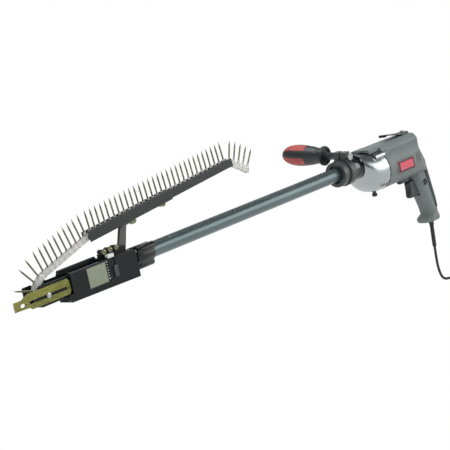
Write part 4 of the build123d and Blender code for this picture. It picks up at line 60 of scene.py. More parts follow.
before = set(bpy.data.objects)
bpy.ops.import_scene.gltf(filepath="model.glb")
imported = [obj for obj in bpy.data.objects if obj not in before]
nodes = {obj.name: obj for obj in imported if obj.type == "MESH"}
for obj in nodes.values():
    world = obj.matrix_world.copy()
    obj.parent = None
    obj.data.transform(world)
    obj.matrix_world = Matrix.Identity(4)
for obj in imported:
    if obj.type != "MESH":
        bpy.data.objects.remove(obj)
cad_low, cad_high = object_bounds()
scene = bpy.context.scene
MM = 0.001
WELD = 1e-6

# Camera: fitted to the photograph's long straight edges
CAMERA_PLACE = Vector((-2.3366, -1.7324, 0.5190))
CAMERA_RIGHT = Vector((0.6546, -0.7266, -0.2086))
CAMERA_UP = Vector((0.2674, -0.0355, 0.9629))
CAMERA_BACK = Vector((-0.7071, -0.6861, 0.1711))
CAMERA_LENS = 122.14
CAMERA_SENSOR = 36.0
CAMERA_FAR = 50.0

camera_data = bpy.data.cameras.new("photo_camera")
camera_data.lens = CAMERA_LENS
camera_data.sensor_width = CAMERA_SENSOR
camera_data.clip_end = CAMERA_FAR
camera = bpy.data.objects.new("photo_camera", camera_data)
camera_turn = Matrix((CAMERA_RIGHT, CAMERA_UP, CAMERA_BACK)).transposed()
camera.matrix_world = Matrix.Translation(CAMERA_PLACE) @ camera_turn.to_4x4()
scene.collection.objects.link(camera)
scene.camera = camera

# Cord: down from the strain relief, round to the floor and into the put-away coil
CORD_DIAMETER = 5.0 * MM
CORD_EXIT = (5.0, 0.0, -110.0)
CORD_ROUTE = [
    CORD_EXIT,
    (3.12, 0.0, -132.09),
    (3.5, 0.0, -157.0),
    (12.0, 0.0, -179.0),
    (40.0, 0.0, -184.0),
    (61.0, 0.0, -183.0),
]
COIL_START = (66.0, 0.0, -183.0)
COIL_OUTER_R = 38.0
COIL_TURN_STEP = 6.5
COIL_LAYER_STEP = 6.0
COIL_LAYERS = 4
COIL_LAYER_TURNS = 2.5
COIL_POINTS_PER_TURN = 16
COIL_LEAD_OUT = 36.0
COIL_END_RISE = 3.0
COIL_END_RUN = 5.0
coil_inner_r = COIL_OUTER_R - COIL_TURN_STEP * COIL_LAYER_TURNS
coil_cycle = COIL_LAYER_TURNS + 0.5
coil_turns = COIL_LAYERS * coil_cycle - 0.5


def coil_place(turns):
    """Centre line of the coil after a number of turns: it spirals in and out, a layer lower each time."""
    layer = min(int(turns / coil_cycle), COIL_LAYERS - 1)
    into = turns - layer * coil_cycle
    inward = layer % 2 == 0
    first = COIL_OUTER_R if inward else coil_inner_r
    last = coil_inner_r if inward else COIL_OUTER_R
    share = min(into / COIL_LAYER_TURNS, 1.0)
    climb = max(0.0, into - COIL_LAYER_TURNS) * 2
    radius = first + (last - first) * share
    drop = (layer + (1 - math.cos(math.pi * climb)) / 2) * COIL_LAYER_STEP
    angle = math.pi / 2 - 2 * math.pi * turns
    centre_y = COIL_START[1] - COIL_OUTER_R
    return (
        COIL_START[0] + radius * math.cos(angle),
        centre_y + radius * math.sin(angle),
        COIL_START[2] - drop,
    )


coil_steps = int(coil_turns * COIL_POINTS_PER_TURN)
coil_route = [coil_place(step / COIL_POINTS_PER_TURN) for step in range(coil_steps + 1)]
coil_last = Vector(coil_route[-1])
coil_way = Vector((-2 * math.pi * COIL_OUTER_R, -COIL_TURN_STEP, 0)).normalized()
lead_out = [
    coil_last + coil_way * COIL_LEAD_OUT * 0.35,
    coil_last + coil_way * COIL_LEAD_OUT * 0.65 + Vector((0, 0, COIL_END_RISE)),
    coil_last + coil_way * COIL_LEAD_OUT + Vector((0, 0, COIL_END_RISE)),
    coil_last + coil_way * (COIL_LEAD_OUT + COIL_END_RUN) + Vector((0, 0, COIL_END_RISE)),
]
cord_points = [Vector(point) * MM for point in [*CORD_ROUTE, *coil_route, *lead_out]]

cord_curve = bpy.data.curves.new("mains_cord", "CURVE")
cord_curve.dimensions = "3D"
# The points carry the radius, so the curve's own box is the cord's
cord_curve.bevel_depth = 1.0
cord_curve.bevel_resolution = 4
cord_curve.resolution_u = 6
cord_curve.use_fill_caps = True
cord_line = cord_curve.splines.new("NURBS")
cord_line.points.add(len(cord_points) - 1)
for spot, point in zip(cord_line.points, cord_points):
    spot.co = (*point, 1.0)
    spot.radius = CORD_DIAMETER / 2
cord_line.order_u = 3
cord_line.use_endpoint_u = True
cord = bpy.data.objects.new("mains_cord", cord_curve)
scene.collection.objects.link(cord)
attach(cord, "tool")
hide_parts("cord_lead", "cord_coil")


# Materials


def linear(code):
    """An sRGB hex colour as the linear colour that shaders take."""
    shares = [int(code[place:place + 2], 16) / 255 for place in (1, 3, 5)]
    return (*[s / 12.92 if s <= 0.04045 else ((s + 0.055) / 1.055) ** 2.4 for s in shares], 1.0)


def add(tree, kind, inputs=None, **settings):
    """One node with its settings; an input is a value to set or another node's output to link."""
    node = tree.nodes.new(kind)
    for name, value in settings.items():
        setattr(node, name, value)
    for name, value in (inputs or {}).items():
        if isinstance(value, bpy.types.NodeSocket):
            tree.links.new(value, node.inputs[name])
        else:
            node.inputs[name].default_value = value
    return node


def new_material(name):
    """A material, its node tree and its main shader."""
    material = bpy.data.materials.new(name)
    material.use_nodes = True
    tree = material.node_tree
    return material, tree, tree.nodes["Principled BSDF"]


# Broad patches of a finish and the reach of a corner's wear and painted highlight in millimetres, and how
# much of each shows
PATCH_SIZE = 70.0
PATCH_SHARE = 0.45
TONE_ENDS = (0.35, 0.65)
EDGE_WEAR_AND_HIGHLIGHT_REACH = 0.8
EDGE_WEAR_AND_HIGHLIGHT_SHARE = 0.55
RELIEF_SHARE = 0.25
# Bends of a corner, as cosines, at which its wear and painted highlight start and are full
EDGE_WEAR_AND_HIGHLIGHT_BEND = (0.99, 0.8)
# Heights of the grain at which a finish is smoothest and roughest
GLOSS_ENDS = (0.3, 0.7)


def surface(
    name,
    colour,
    shade,
    grain,
    rough,
    metal=0.0,
    bump=0.1,
    stretch=(1, 1, 1),
    edge=None,
    cast=0.0,
    tint=None,
    shine=0.5,
    clear=0.0,
):
    """A finish whose colour drifts between two tones on a grain of some millimetres, which also moves its
    roughness and relief. Edge lightens the corners, as wear and as a painted highlight along them; cast
    adds broad uneven patches and tint is a middle tone; shine is how strongly a plastic or paint reflects,
    and clear the share of light let through."""
    material, tree, shader = new_material(name)
    place = add(tree, "ShaderNodeTexCoord").outputs["Object"]
    spread = add(tree, "ShaderNodeMapping", {"Vector": place, "Scale": stretch}).outputs["Vector"]
    fine = add(tree, "ShaderNodeTexNoise", {"Vector": spread, "Scale": 1 / (grain * MM), "Detail": 4.0})
    patch_scale = 1 / (PATCH_SIZE * MM)
    drift = add(tree, "ShaderNodeTexNoise", {"Vector": place, "Scale": patch_scale, "Detail": 2.0})
    blend = {0: PATCH_SHARE + cast, 2: fine.outputs["Fac"], 3: drift.outputs["Fac"]}
    both = add(tree, "ShaderNodeMix", blend)
    tones = add(tree, "ShaderNodeValToRGB", {"Fac": both.outputs[0]})
    tones.color_ramp.elements[0].position = TONE_ENDS[0]
    tones.color_ramp.elements[1].position = TONE_ENDS[1]
    tones.color_ramp.elements[0].color = linear(shade)
    tones.color_ramp.elements[1].color = linear(colour)
    if tint:
        tones.color_ramp.elements.new(sum(TONE_ENDS) / 2).color = linear(tint)
    paint = tones.outputs["Color"]
    # Corners lighten towards the edge colour, as wear and as a painted highlight along them
    if edge:
        soft = add(tree, "ShaderNodeBevel", {"Radius": EDGE_WEAR_AND_HIGHLIGHT_REACH * MM}, samples=4)
        flat = add(tree, "ShaderNodeNewGeometry")
        match = add(tree, "ShaderNodeVectorMath", operation="DOT_PRODUCT")
        tree.links.new(soft.outputs["Normal"], match.inputs[0])
        tree.links.new(flat.outputs["Normal"], match.inputs[1])
        wear_and_highlight = add(
            tree,
            "ShaderNodeMapRange",
            {
                "Value": match.outputs["Value"],
                "From Min": EDGE_WEAR_AND_HIGHLIGHT_BEND[0],
                "From Max": EDGE_WEAR_AND_HIGHLIGHT_BEND[1],
                "To Max": EDGE_WEAR_AND_HIGHLIGHT_SHARE,
            },
        )
        mixed = add(tree, "ShaderNodeMix", {0: wear_and_highlight.outputs["Result"]}, data_type="RGBA")
        tree.links.new(paint, mixed.inputs[6])
        mixed.inputs[7].default_value = linear(edge)
        paint = mixed.outputs[2]
    gloss = add(
        tree,
        "ShaderNodeMapRange",
        {
            "Value": fine.outputs["Fac"],
            "From Min": GLOSS_ENDS[0],
            "From Max": GLOSS_ENDS[1],
            "To Min": rough[0],
            "To Max": rough[1],
        },
    )
    relief = add(
        tree,
        "ShaderNodeBump",
        {"Height": fine.outputs["Fac"], "Strength": bump, "Distance": RELIEF_SHARE * grain * MM},
    )
    tree.links.new(paint, shader.inputs["Base Color"])
    tree.links.new(gloss.outputs["Result"], shader.inputs["Roughness"])
    tree.links.new(relief.outputs["Normal"], shader.inputs["Normal"])
    shader.inputs["Metallic"].default_value = metal
    shader.inputs["Specular IOR Level"].default_value = shine
    shader.inputs["Transmission Weight"].default_value = clear
    return material


# The finishes' real grit, 0.1 to 0.5 mm, is too fine to show here and is drawn several times coarser

# Glass-filled nylon, moulded in a spark-eroded tool: a grey-green with a dull, slightly mottled skin
housing_nylon = surface("glass_filled_nylon_moulded", "#6d7674", "#616a68", 3.0, (0.42, 0.58), bump=0.12)
# Thermoplastic rubber moulded over the grip: near black, soft sheen, fine grain
grip_rubber = surface("overmoulded_rubber", "#33393a", "#272c2d", 2.5, (0.55, 0.7), bump=0.2)
# Die-cast aluminium, shot blasted then tumbled: bright, with broad soft highlights and faint flow marks
cast_aluminium = surface(
    "cast_aluminium_blasted", "#acb1b2", "#a1a7a8", 4.0, (0.23, 0.28), metal=1.0, bump=0.012, cast=0.2
)
# Turned steel collar, polished: dark mirror that takes the studio lamps as hard streaks
collar_steel = surface(
    "turned_steel_polished",
    "#5c6163",
    "#4a4e50",
    2.0,
    (0.08, 0.13),
    metal=1.0,
    bump=0.03,
    stretch=(6, 1, 1),
)
# Steel parts in dark stove enamel: half gloss, lighter where the corners have worn
dark_enamel = surface(
    "steel_dark_enamel", "#404847", "#333a39", 3.0, (0.28, 0.4), bump=0.06, edge="#717a79"
)
# Bent strap of the hook in dark grey enamel, rubbed by belts and pockets
hook_enamel = surface(
    "steel_strap_grey_enamel", "#434949", "#363b3b", 3.0, (0.3, 0.42), bump=0.08, edge="#7f8686"
)
# Drawn steel tube in grey-green paint: a smooth half gloss with long faint draw lines
tube_paint = surface(
    "drawn_tube_painted", "#647273", "#5b686a", 3.0, (0.28, 0.34), metal=0.7, bump=0.0, stretch=(0.08, 1, 1)
)
# Folded sheet steel, powder coated: dark slate with a slight orange peel, edges rubbed paler
rail_paint = surface(
    "sheet_steel_powder_coat",
    "#242c2a",
    "#1b2221",
    2.6,
    (0.36, 0.48),
    bump=0.15,
    edge="#5f6966",
    shine=0.35,
)
# Flat bar strut in thin brownish grey paint
strut_paint = surface("flat_bar_painted", "#555250", "#464342", 3.0, (0.38, 0.5), bump=0.1, edge="#8a8784")
# Black anodised plate and moulded nylon of the feed head: nearly black, half dull, with a painted grey
# highlight along the corners
head_black = surface(
    "black_anodised_plate", "#171b1d", "#101415", 2.4, (0.38, 0.5), bump=0.1, edge="#737b7d", shine=0.2
)
# Polished black nylon of the coupler: deep black with clear pale highlights on its lobes, its corners paler
# as a painted highlight
coupler_black = surface(
    "nylon_moulded_polished",
    "#16191a",
    "#0f1213",
    3.0,
    (0.2, 0.28),
    bump=0.04,
    edge="#3c4244",
    shine=0.35,
)
# Injection-moulded ABS of knobs, trigger and grip core: charcoal with a fine even grain
charcoal_abs = surface(
    "abs_moulded_charcoal", "#333839", "#292e2f", 2.0, (0.36, 0.48), bump=0.14, edge="#646b6d"
)
# Steel plate in yellow chromate: olive gold that drifts towards green and brown, with rolling lines
yellow_chromate = surface(
    "steel_yellow_chromate",
    "#8f8845",
    "#5e5a2e",
    2.2,
    (0.28, 0.42),
    metal=0.75,
    bump=0.1,
    stretch=(0.15, 1, 1),
    edge="#b5ae7a",
    tint="#76783f",
)
# Bracket screws and rail bolts in thin yellow zinc: greenish grey-gold, dull
bracket_zinc = surface(
    "screw_heads_yellow_zinc", "#9a9a78", "#7a7a5a", 1.8, (0.3, 0.42), metal=0.8, bump=0.08, tint="#8a8c70"
)
# Hardened screws in yellow zinc: olive bronze shanks, duller in the thread's roots
screw_zinc = surface(
    "collated_screw_yellow_zinc",
    "#8d8260",
    "#5f563e",
    1.5,
    (0.26, 0.38),
    metal=0.8,
    bump=0.1,
    tint="#7b765a",
)
# Bright zinc plate on fasteners: pale blue-grey with a light crystalline grain
bright_zinc = surface("steel_bright_zinc", "#b9bdbb", "#999e9c", 1.6, (0.22, 0.34), metal=1.0, bump=0.08)
# Ground and hardened drive parts, oiled
ground_steel = surface(
    "ground_steel", "#9aa0a2", "#858b8e", 1.6, (0.2, 0.3), metal=1.0, bump=0.05, stretch=(5, 1, 1)
)
# Hard-drawn spring wire, blued
spring_steel = surface("spring_wire_blued", "#6d7478", "#565d61", 1.2, (0.24, 0.34), metal=1.0, bump=0.05)
# Stacked electrical steel of the motor: fine dark edges of thin sheets, unseen outside the housing
motor_laminations = surface(
    "motor_laminations", "#5a534c", "#3f3a36", 0.8, (0.45, 0.6), metal=0.6, stretch=(3, 0.2, 0.2)
)
# Soft red inlays of the handle: matt, slightly faded on the crowns
red_rubber = surface("red_soft_rubber", "#bb5450", "#a34642", 3.0, (0.5, 0.65), bump=0.15)
# Plate on the barrel, enamelled red: smooth and a little glossy
red_enamel = surface("plate_red_enamel", "#cf5161", "#bf4454", 4.0, (0.3, 0.4), bump=0.04)
# Its raised rim in darker red
maroon_enamel = surface("rim_maroon_enamel", "#4d1a23", "#3f141c", 2.5, (0.34, 0.46), bump=0.05)
# White nylon pad, a little waxy
white_nylon = surface("white_nylon_moulded", "#e2e5e1", "#d2d6d1", 2.5, (0.35, 0.45), bump=0.06)
# Clear polypropylene band: milky where it is thick
band_clear = surface(
    "clear_polypropylene_moulded", "#e6e7e2", "#d6d8d2", 2.0, (0.25, 0.38), bump=0.08, clear=0.4
)
# Satin sheet of the label plate
label_sheet = surface("label_sheet_satin", "#8c9480", "#7d8571", 3.0, (0.32, 0.42), metal=0.2, bump=0.04)
# Dark printed rim round the label
label_rim = surface("label_rim_dark_ink", "#4b5348", "#3d453b", 2.0, (0.4, 0.5), bump=0.04)
# White paint in the small sunk marks of the depth scale
mark_paint = surface("scale_mark_white_paint", "#d4d8d6", "#bfc4c2", 1.0, (0.45, 0.6), bump=0.08)
# Rubber cord, plug and relief: black with a dull bloom
cord_rubber = surface("cord_rubber_extruded", "#262829", "#1c1e1f", 2.0, (0.5, 0.65), bump=0.15)
# Pale nylon tie round the coil
tie_nylon = surface("tie_nylon_moulded", "#dcdeda", "#cdd0cb", 2.0, (0.4, 0.5), bump=0.06)
# Turned brass pins of the plug
pin_brass = surface("turned_brass", "#c9b36b", "#b29a55", 1.2, (0.2, 0.3), metal=1.0, bump=0.05)

finishes = {
    housing_nylon: "housing_left housing_right",
    grip_rubber: "grip_rubber",
    cast_aluminium: "gearbox_case gear_plate",
    collar_steel: "nose_collar",
    dark_enamel: "tube_adaptor clamp_ring",
    hook_enamel: "belt_hook",
    tube_paint: "extension_tube",
    rail_paint: "rail_front rail_rear",
    strut_paint: "rail_strut",
    head_black: "head_cheek_left head_cheek_right head_frame slider_body feed_pawl",
    coupler_black: "front_coupler lock_on_button belt_hook_tip",
    charcoal_abs: "trigger reverse_lever spindle_lock_button depth_selector switch_body brush_holders"
    " cooling_fan handle_core",
    yellow_chromate: "nosepiece",
    bracket_zinc: "rail_screws",
    bright_zinc: "housing_screws coupler_screws clamp_bolt nosepiece_screw",
    ground_steel: "armature_shaft spindle drive_gear drive_shaft drive_bit bearings",
    motor_laminations: "stator armature_core",
    red_rubber: "handle_inserts",
    red_enamel: "name_plate",
    white_nylon: "nylon_pad",
    band_clear: "band_front band_rail",
    label_sheet: "label_plate",
    cord_rubber: "cord_relief plug_body",
    tie_nylon: "coil_tie",
    pin_brass: "plug_pins",
}
for material, names in finishes.items():
    for name in names.split():
        nodes[name].data.materials.clear()
        nodes[name].data.materials.append(material)
cord.data.materials.append(cord_rubber)

# Edges: the small round that a mould, a press or a file leaves on a corner, in millimetres
edge_rounds = {
    "head_cheek_left": 0.6,
    "head_cheek_right": 0.6,
    "head_frame": 0.4,
    "slider_body": 0.4,
    "depth_selector": 0.4,
    "nosepiece": 0.3,
    "rail_strut": 0.6,
    "rail_front": 0.3,
    "rail_rear": 0.3,
    "belt_hook": 0.5,
    "front_coupler": 0.8,
    "tube_adaptor": 0.8,
    "clamp_ring": 0.8,
    "nylon_pad": 0.6,
    "label_plate": 0.15,
    "name_plate": 0.25,
    "nose_collar": 0.5,
}
EDGE_ANGLE = math.radians(35)
for name, edge_round in edge_rounds.items():
    weld = nodes[name].modifiers.new("corners_joined", "WELD")
    weld.merge_threshold = WELD
    bevel = nodes[name].modifiers.new("edges_rounded", "BEVEL")
    bevel.width = edge_round * MM
    bevel.segments = 2
    bevel.limit_method = "ANGLE"
    bevel.angle_limit = EDGE_ANGLE
    bevel.harden_normals = True


# Pieces


def solids_of(name):
    """The corner places of each separate solid of a CAD node, in the order of its mesh."""
    work = bmesh.new()
    work.from_mesh(nodes[name].data)
    bmesh.ops.remove_doubles(work, verts=work.verts, dist=WELD)
    work.verts.index_update()
    reached = [False] * len(work.verts)
    solids = []
    for first in work.verts:
        if reached[first.index]:
            continue
        reached[first.index] = True
        group = [first]
        for corner in group:
            for line in corner.link_edges:
                other = line.other_vert(corner)
                if not reached[other.index]:
                    reached[other.index] = True
                    group.append(other)
        solids.append(np.array([corner.co for corner in group]))
    work.free()
    return solids


def skin(rings, loop=False):
    """Places and faces of a skin over rings of equal count; loop also joins the last ring to the first."""
    count = len(rings[0])
    rows = [(row, row + 1) for row in range(len(rings) - 1)]
    if loop:
        rows.append((len(rings) - 1, 0))
    faces = []
    for row, next_row in rows:
        low = row * count
        high = next_row * count
        for spot in range(count):
            beside = (spot + 1) % count
            faces.append((low + spot, low + beside, high + beside, high + spot))
    return [place for ring in rings for place in ring], faces


COLUMNS = 12
COLUMN_ANGLES = [2 * math.pi * column / COLUMNS for column in range(COLUMNS)]
CROSS_WAIST = 0.36
PLAIN = [1.0] * COLUMNS
CROSS = [1.0, CROSS_WAIST, CROSS_WAIST] * (COLUMNS // 3)


def ring(radius, along, scales=PLAIN):
    """Places round +Z in millimetres; scales shape the circle into a cross or leave it plain."""
    return [
        (radius * scale * math.cos(angle), radius * scale * math.sin(angle), along)
        for angle, scale in zip(COLUMN_ANGLES, scales)
    ]


def set_at(part, spot, way):
    """Turns a part made along +Z in millimetres to point along way from spot."""
    places, faces = part
    aim = np.array(Vector((0, 0, 1)).rotation_difference(Vector(way)).to_matrix())
    return np.array(places) @ aim.T * MM + np.array(spot), faces


SHARP_ANGLE = math.radians(42)


def piece(name, parts, material, body=None):
    """One piece from several skins, riding on a body if one is given."""
    places = []
    faces = []
    for part_places, part_faces in parts:
        start = len(places)
        places += [tuple(place) for place in part_places]
        faces += [tuple(start + corner for corner in face) for face in part_faces]
    mesh = bpy.data.meshes.new(name)
    mesh.from_pydata(places, [], faces)
    work = bmesh.new()
    work.from_mesh(mesh)
    bmesh.ops.remove_doubles(work, verts=work.verts, dist=WELD)
    bmesh.ops.recalc_face_normals(work, faces=work.faces)
    work.to_mesh(mesh)
    work.free()
    mesh.shade_smooth()
    mesh.set_sharp_from_angle(angle=SHARP_ANGLE)
    mesh.materials.append(material)
    made = bpy.data.objects.new(name, mesh)
    scene.collection.objects.link(made)
    if body:
        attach(made, body)
    return made


# Collated screws: bugle heads with a cross recess, and a coarse thread down to a sharp point.
# Their rows are a radius and a depth below the head's face, in millimetres.
SCREW_LEN = 45.0
SCREW_POINT_LEN = 9.0
HEAD_ROWS = [(3.4, 0.0), (3.6, 0.3), (3.3, 0.8), (2.4, 1.8), (1.8, 2.7), (1.4, 3.4)]
RECESS_ROWS = [(0.0, 1.9), (0.9, 1.7), (2.0, 0.0)]
THREAD_START = 4.0
THREAD_PITCH = 2.6
THREAD_ROOT_R = 1.2
THREAD_DEPTH = 0.55
THREAD_RIDGE = 0.3
ROWS_PER_PITCH = 6
END_BAND = 0.3 * MM


def thread_ring(along):
    """One row of the thread: its crest winds round the shank, and both taper away at the point."""
    taper = min(1.0, (SCREW_LEN - along) / SCREW_POINT_LEN)
    start = min(1.0, (along - THREAD_START) / THREAD_PITCH)
    scales = []
    for column in range(COLUMNS):
        phase = (along / THREAD_PITCH - column / COLUMNS) % 1.0
        crest = max(0.0, 1.0 - abs(phase - 0.5) / THREAD_RIDGE)
        scales.append((THREAD_ROOT_R + THREAD_DEPTH * crest * start) * taper)
    return ring(1.0, along, scales)


thread_rows = int((SCREW_LEN - THREAD_START) / THREAD_PITCH * ROWS_PER_PITCH)
thread_step = (SCREW_LEN - THREAD_START) / thread_rows
screw_rings = [ring(radius, along, CROSS) for radius, along in RECESS_ROWS]
screw_rings += [ring(radius, along) for radius, along in HEAD_ROWS]
screw_rings += [thread_ring(THREAD_START + thread_step * row) for row in range(thread_rows + 1)]
screw_part = skin(screw_rings)

# Soft sleeves of the band that grip each screw above the rail's lips
SLEEVE_R = 2.5
SLEEVE_BORE_R = 1.45
SLEEVE_FOOT = 0.6
SLEEVE_ROUND = 1.2
SLEEVE_SHOULDER_R = 0.92 * SLEEVE_R
SLEEVE_LIP_R = 0.75 * SLEEVE_R
SLEEVE_TOPS = {"front": 9.8, "span": 9.8, "rail": 14.4}


def sleeve_part(top):
    """One sleeve from its foot to its rounded top, open through the middle."""
    rows = [
        (SLEEVE_R, SLEEVE_FOOT),
        (SLEEVE_R, top - SLEEVE_ROUND),
        (SLEEVE_SHOULDER_R, top - SLEEVE_ROUND / 3),
        (SLEEVE_LIP_R, top),
        (SLEEVE_BORE_R, top - SLEEVE_ROUND / 6),
        (SLEEVE_BORE_R, SLEEVE_FOOT),
    ]
    return skin([ring(radius, along) for radius, along in rows], loop=True)


def screw_line(places):
    """The middle of a screw's head face, and the way from there to its point."""
    middle = places.mean(axis=0)
    axis = np.linalg.svd(places - middle, full_matrices=False)[2][0]
    along = (places - middle) @ axis
    ends = [places[along > along.max() - END_BAND], places[along < along.min() + END_BAND]]
    ends.sort(key=lambda end: -np.ptp(end, axis=0).max())
    head, point = [end.mean(axis=0) for end in ends]
    return head, point - head


# Screws and their sleeves along the slider's front, the free span and the rail
for stretch, body in (("front", "slider"), ("span", None), ("rail", "strip")):
    lines = [screw_line(solid) for solid in solids_of("screws_" + stretch)]
    screws = piece(
        "threaded_screws_" + stretch,
        [set_at(screw_part, head, way) for head, way in lines],
        screw_zinc,
        body,
    )
    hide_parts("screws_" + stretch)
    sleeves = piece(
        "band_sleeves_" + stretch,
        [set_at(sleeve_part(SLEEVE_TOPS[stretch]), head, way) for head, way in lines],
        band_clear,
        body,
    )
    if stretch == "span":
        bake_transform(screws)
        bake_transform(sleeves)

# The free stretch of the band, between the slider and the rail
span_mesh = nodes["band_span"].data.copy()
span_mesh.materials.clear()
span_mesh.materials.append(band_clear)
span_band = bpy.data.objects.new("flexing_band_span", span_mesh)
scene.collection.objects.link(span_band)
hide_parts("band_span")
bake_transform(span_band)

# Return spring: an open coil of even turns
SPRING_WIRE_R = 0.8 * MM
SPRING_TURNS = 12
SPRING_STEPS = 24
spring_low, spring_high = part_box("return_spring")
spring_r = (spring_high.z - spring_low.z) / 2 - SPRING_WIRE_R
spring_z = (spring_high.z + spring_low.z) / 2
spring_run = spring_high.x - spring_low.x - 2 * SPRING_WIRE_R
spring_way = Vector((1, 0, 0))
spring_rings = []
for step in range(SPRING_TURNS * SPRING_STEPS + 1):
    share = step / (SPRING_TURNS * SPRING_STEPS)
    angle = 2 * math.pi * SPRING_TURNS * share
    outward = Vector((0, math.cos(angle), math.sin(angle)))
    centre = Vector((spring_low.x + SPRING_WIRE_R + spring_run * share, 0, spring_z)) + outward * spring_r
    spring_rings.append(
        [
            centre + SPRING_WIRE_R * (outward * math.cos(around) + spring_way * math.sin(around))
            for around in COLUMN_ANGLES
        ]
    )
spring_places, spring_faces = skin(spring_rings)
spring_faces.append(tuple(range(COLUMNS)))
spring_faces.append(tuple(len(spring_places) - COLUMNS + column for column in range(COLUMNS)))
spring = piece("wound_return_spring", [(spring_places, spring_faces)], spring_steel, "tool")
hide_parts("return_spring")
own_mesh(spring)


# Trim: rims of the plates, a dark ring of painted shade in the gearbox joint, depth marks, dark pads of
# painted shade in the vents and domed screw heads


CORNER_STEPS = 5


def round_corners(half_w, half_h, corner):
    """Outline of a plate with round corners, about its middle."""
    outline = []
    for side_x, side_y, first in ((1, 1, 0), (-1, 1, 90), (-1, -1, 180), (1, -1, 270)):
        for step in range(CORNER_STEPS + 1):
            angle = math.radians(first + 90 * step / CORNER_STEPS)
            outline.append(
                (
                    side_x * (half_w - corner) + corner * math.cos(angle),
                    side_y * (half_h - corner) + corner * math.sin(angle),
                )
            )
    return outline


# Rows round a rim's section, as shares of its width inwards and of its rise
RIM_ROWS = [(0.0, -1.0), (0.0, 0.5), (0.25, 1.0), (0.75, 1.0), (1.0, 0.5), (1.0, -1.0)]
RIM_LEAST_CORNER = 0.2 * MM


def rim(name, plate, width, rise, corner, material):
    """A low crowned rim round the outer face of a plate that lies across Y."""
    low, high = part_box(plate)
    middle = (low + high) / 2
    rings = []
    for across, up in RIM_ROWS:
        inset = across * width
        half_w = (high.x - low.x) / 2 - inset
        half_h = (high.z - low.z) / 2 - inset
        outline = round_corners(half_w, half_h, max(corner - inset, RIM_LEAST_CORNER))
        rings.append([(middle.x + x, low.y - up * rise, middle.z + z) for x, z in outline])
    piece(name, [skin(rings, loop=True)], material, "tool")


rim(
    "name_plate_rim",
    "name_plate",
    width=3.4 * MM,
    rise=0.35 * MM,
    corner=3.0 * MM,
    material=maroon_enamel,
)
rim(
    "label_rim",
    "label_plate",
    width=1.0 * MM,
    rise=0.2 * MM,
    corner=1.5 * MM,
    material=label_rim,
)

# Dark rubber ring in the groove where the gearbox meets the housing, wider than the groove and standing
# proud of it: painted shade for the shadow in that joint; its rows are an inset and a share across
JOINT_SHADE_FRONT_X = -138.2
JOINT_SHADE_REAR_X = -134.8
JOINT_SHADE_MID_Z = 77.5
JOINT_SHADE_HALF_W = 40.0
JOINT_SHADE_HALF_H = 38.0
JOINT_SHADE_CORNER = 37.0
JOINT_SHADE_ROWS = [(0.3, 0.0), (-0.3, 0.0), (-0.6, 0.25), (-0.6, 0.75), (-0.3, 1.0), (0.3, 1.0)]
joint_shade_rings = [
    [
        ((JOINT_SHADE_FRONT_X + (JOINT_SHADE_REAR_X - JOINT_SHADE_FRONT_X) * across) * MM, y * MM, (JOINT_SHADE_MID_Z + z) * MM)
        for y, z in round_corners(JOINT_SHADE_HALF_W - inset, JOINT_SHADE_HALF_H - inset, JOINT_SHADE_CORNER - inset)
    ]
    for inset, across in JOINT_SHADE_ROWS
]
piece("gearbox_joint_shade_ring", [skin(joint_shade_rings, loop=True)], cord_rubber, "tool")

# Depth scale: a column of small white marks beside the label, every third one longer
MARK_X = -837.0
MARK_LOW_Z = 82.0
MARK_STEP = 4.3
MARK_COUNT = 7
MARK_LONG_EVERY = 3
MARK_LONG_HALF_W = 1.4
MARK_SHORT_HALF_W = 0.8
MARK_HALF_H = 0.7
MARK_RISE = 0.25
MARK_CORNER = 0.5
# Rows over a mark or a vent's pad of painted shade, as shares of its outline and of its rise
TABLET_ROWS = [(0.0, -1.0), (1.0, -1.0), (1.0, 0.6), (0.8, 1.0), (0.0, 1.0)]


def tablet(x, face_y, z, half_w, half_h, corner, rise):
    """A small pillow in millimetres, sunk by its rise into a face that looks to the near side."""
    rings = [
        [
            ((x + across * scale) * MM, (face_y - up * rise) * MM, (z + along * scale) * MM)
            for across, along in round_corners(half_w, half_h, corner)
        ]
        for scale, up in TABLET_ROWS
    ]
    return skin(rings)


cheek_face_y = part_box("head_cheek_left")[0].y / MM
marks = []
for count in range(MARK_COUNT):
    mark_z = MARK_LOW_Z + MARK_STEP * count
    half_w = MARK_SHORT_HALF_W if count % MARK_LONG_EVERY else MARK_LONG_HALF_W
    marks.append(tablet(MARK_X, cheek_face_y, mark_z, half_w, MARK_HALF_H, MARK_CORNER, MARK_RISE))
piece("depth_scale_marks", marks, mark_paint, "tool")

# Dark pads set back in the near vents, each where the barrel narrows towards the rear: painted shade for
# the dark openings of the vents
VENT_SHADES = [(-49.0, -37.5), (-42.0, -36.1), (-35.0, -34.2)]
VENT_SHADE_Z = 77.0
VENT_SHADE_HALF_W = 1.25
VENT_SHADE_HALF_H = 8.9
VENT_SHADE_CORNER = 1.15
VENT_SHADE_RISE = 0.5
vent_shades = [
    tablet(x, y, VENT_SHADE_Z, VENT_SHADE_HALF_W, VENT_SHADE_HALF_H, VENT_SHADE_CORNER, VENT_SHADE_RISE) for x, y in VENT_SHADES
]
piece("vent_painted_shades", vent_shades, cord_rubber, "tool")

# Domed screw heads, with their rows as shares of the radius and the rise
DOME_RECESS = [(0.0, -0.3), (0.3, -0.2), (0.62, 0.75)]
DOME_CROWN = [0.68, 0.8, 0.92, 1.0]
DOME_ROOT = -0.5
BRACKET_DOME_RISE = 1.6
NOSEPIECE_DOME_RISE = 0.5


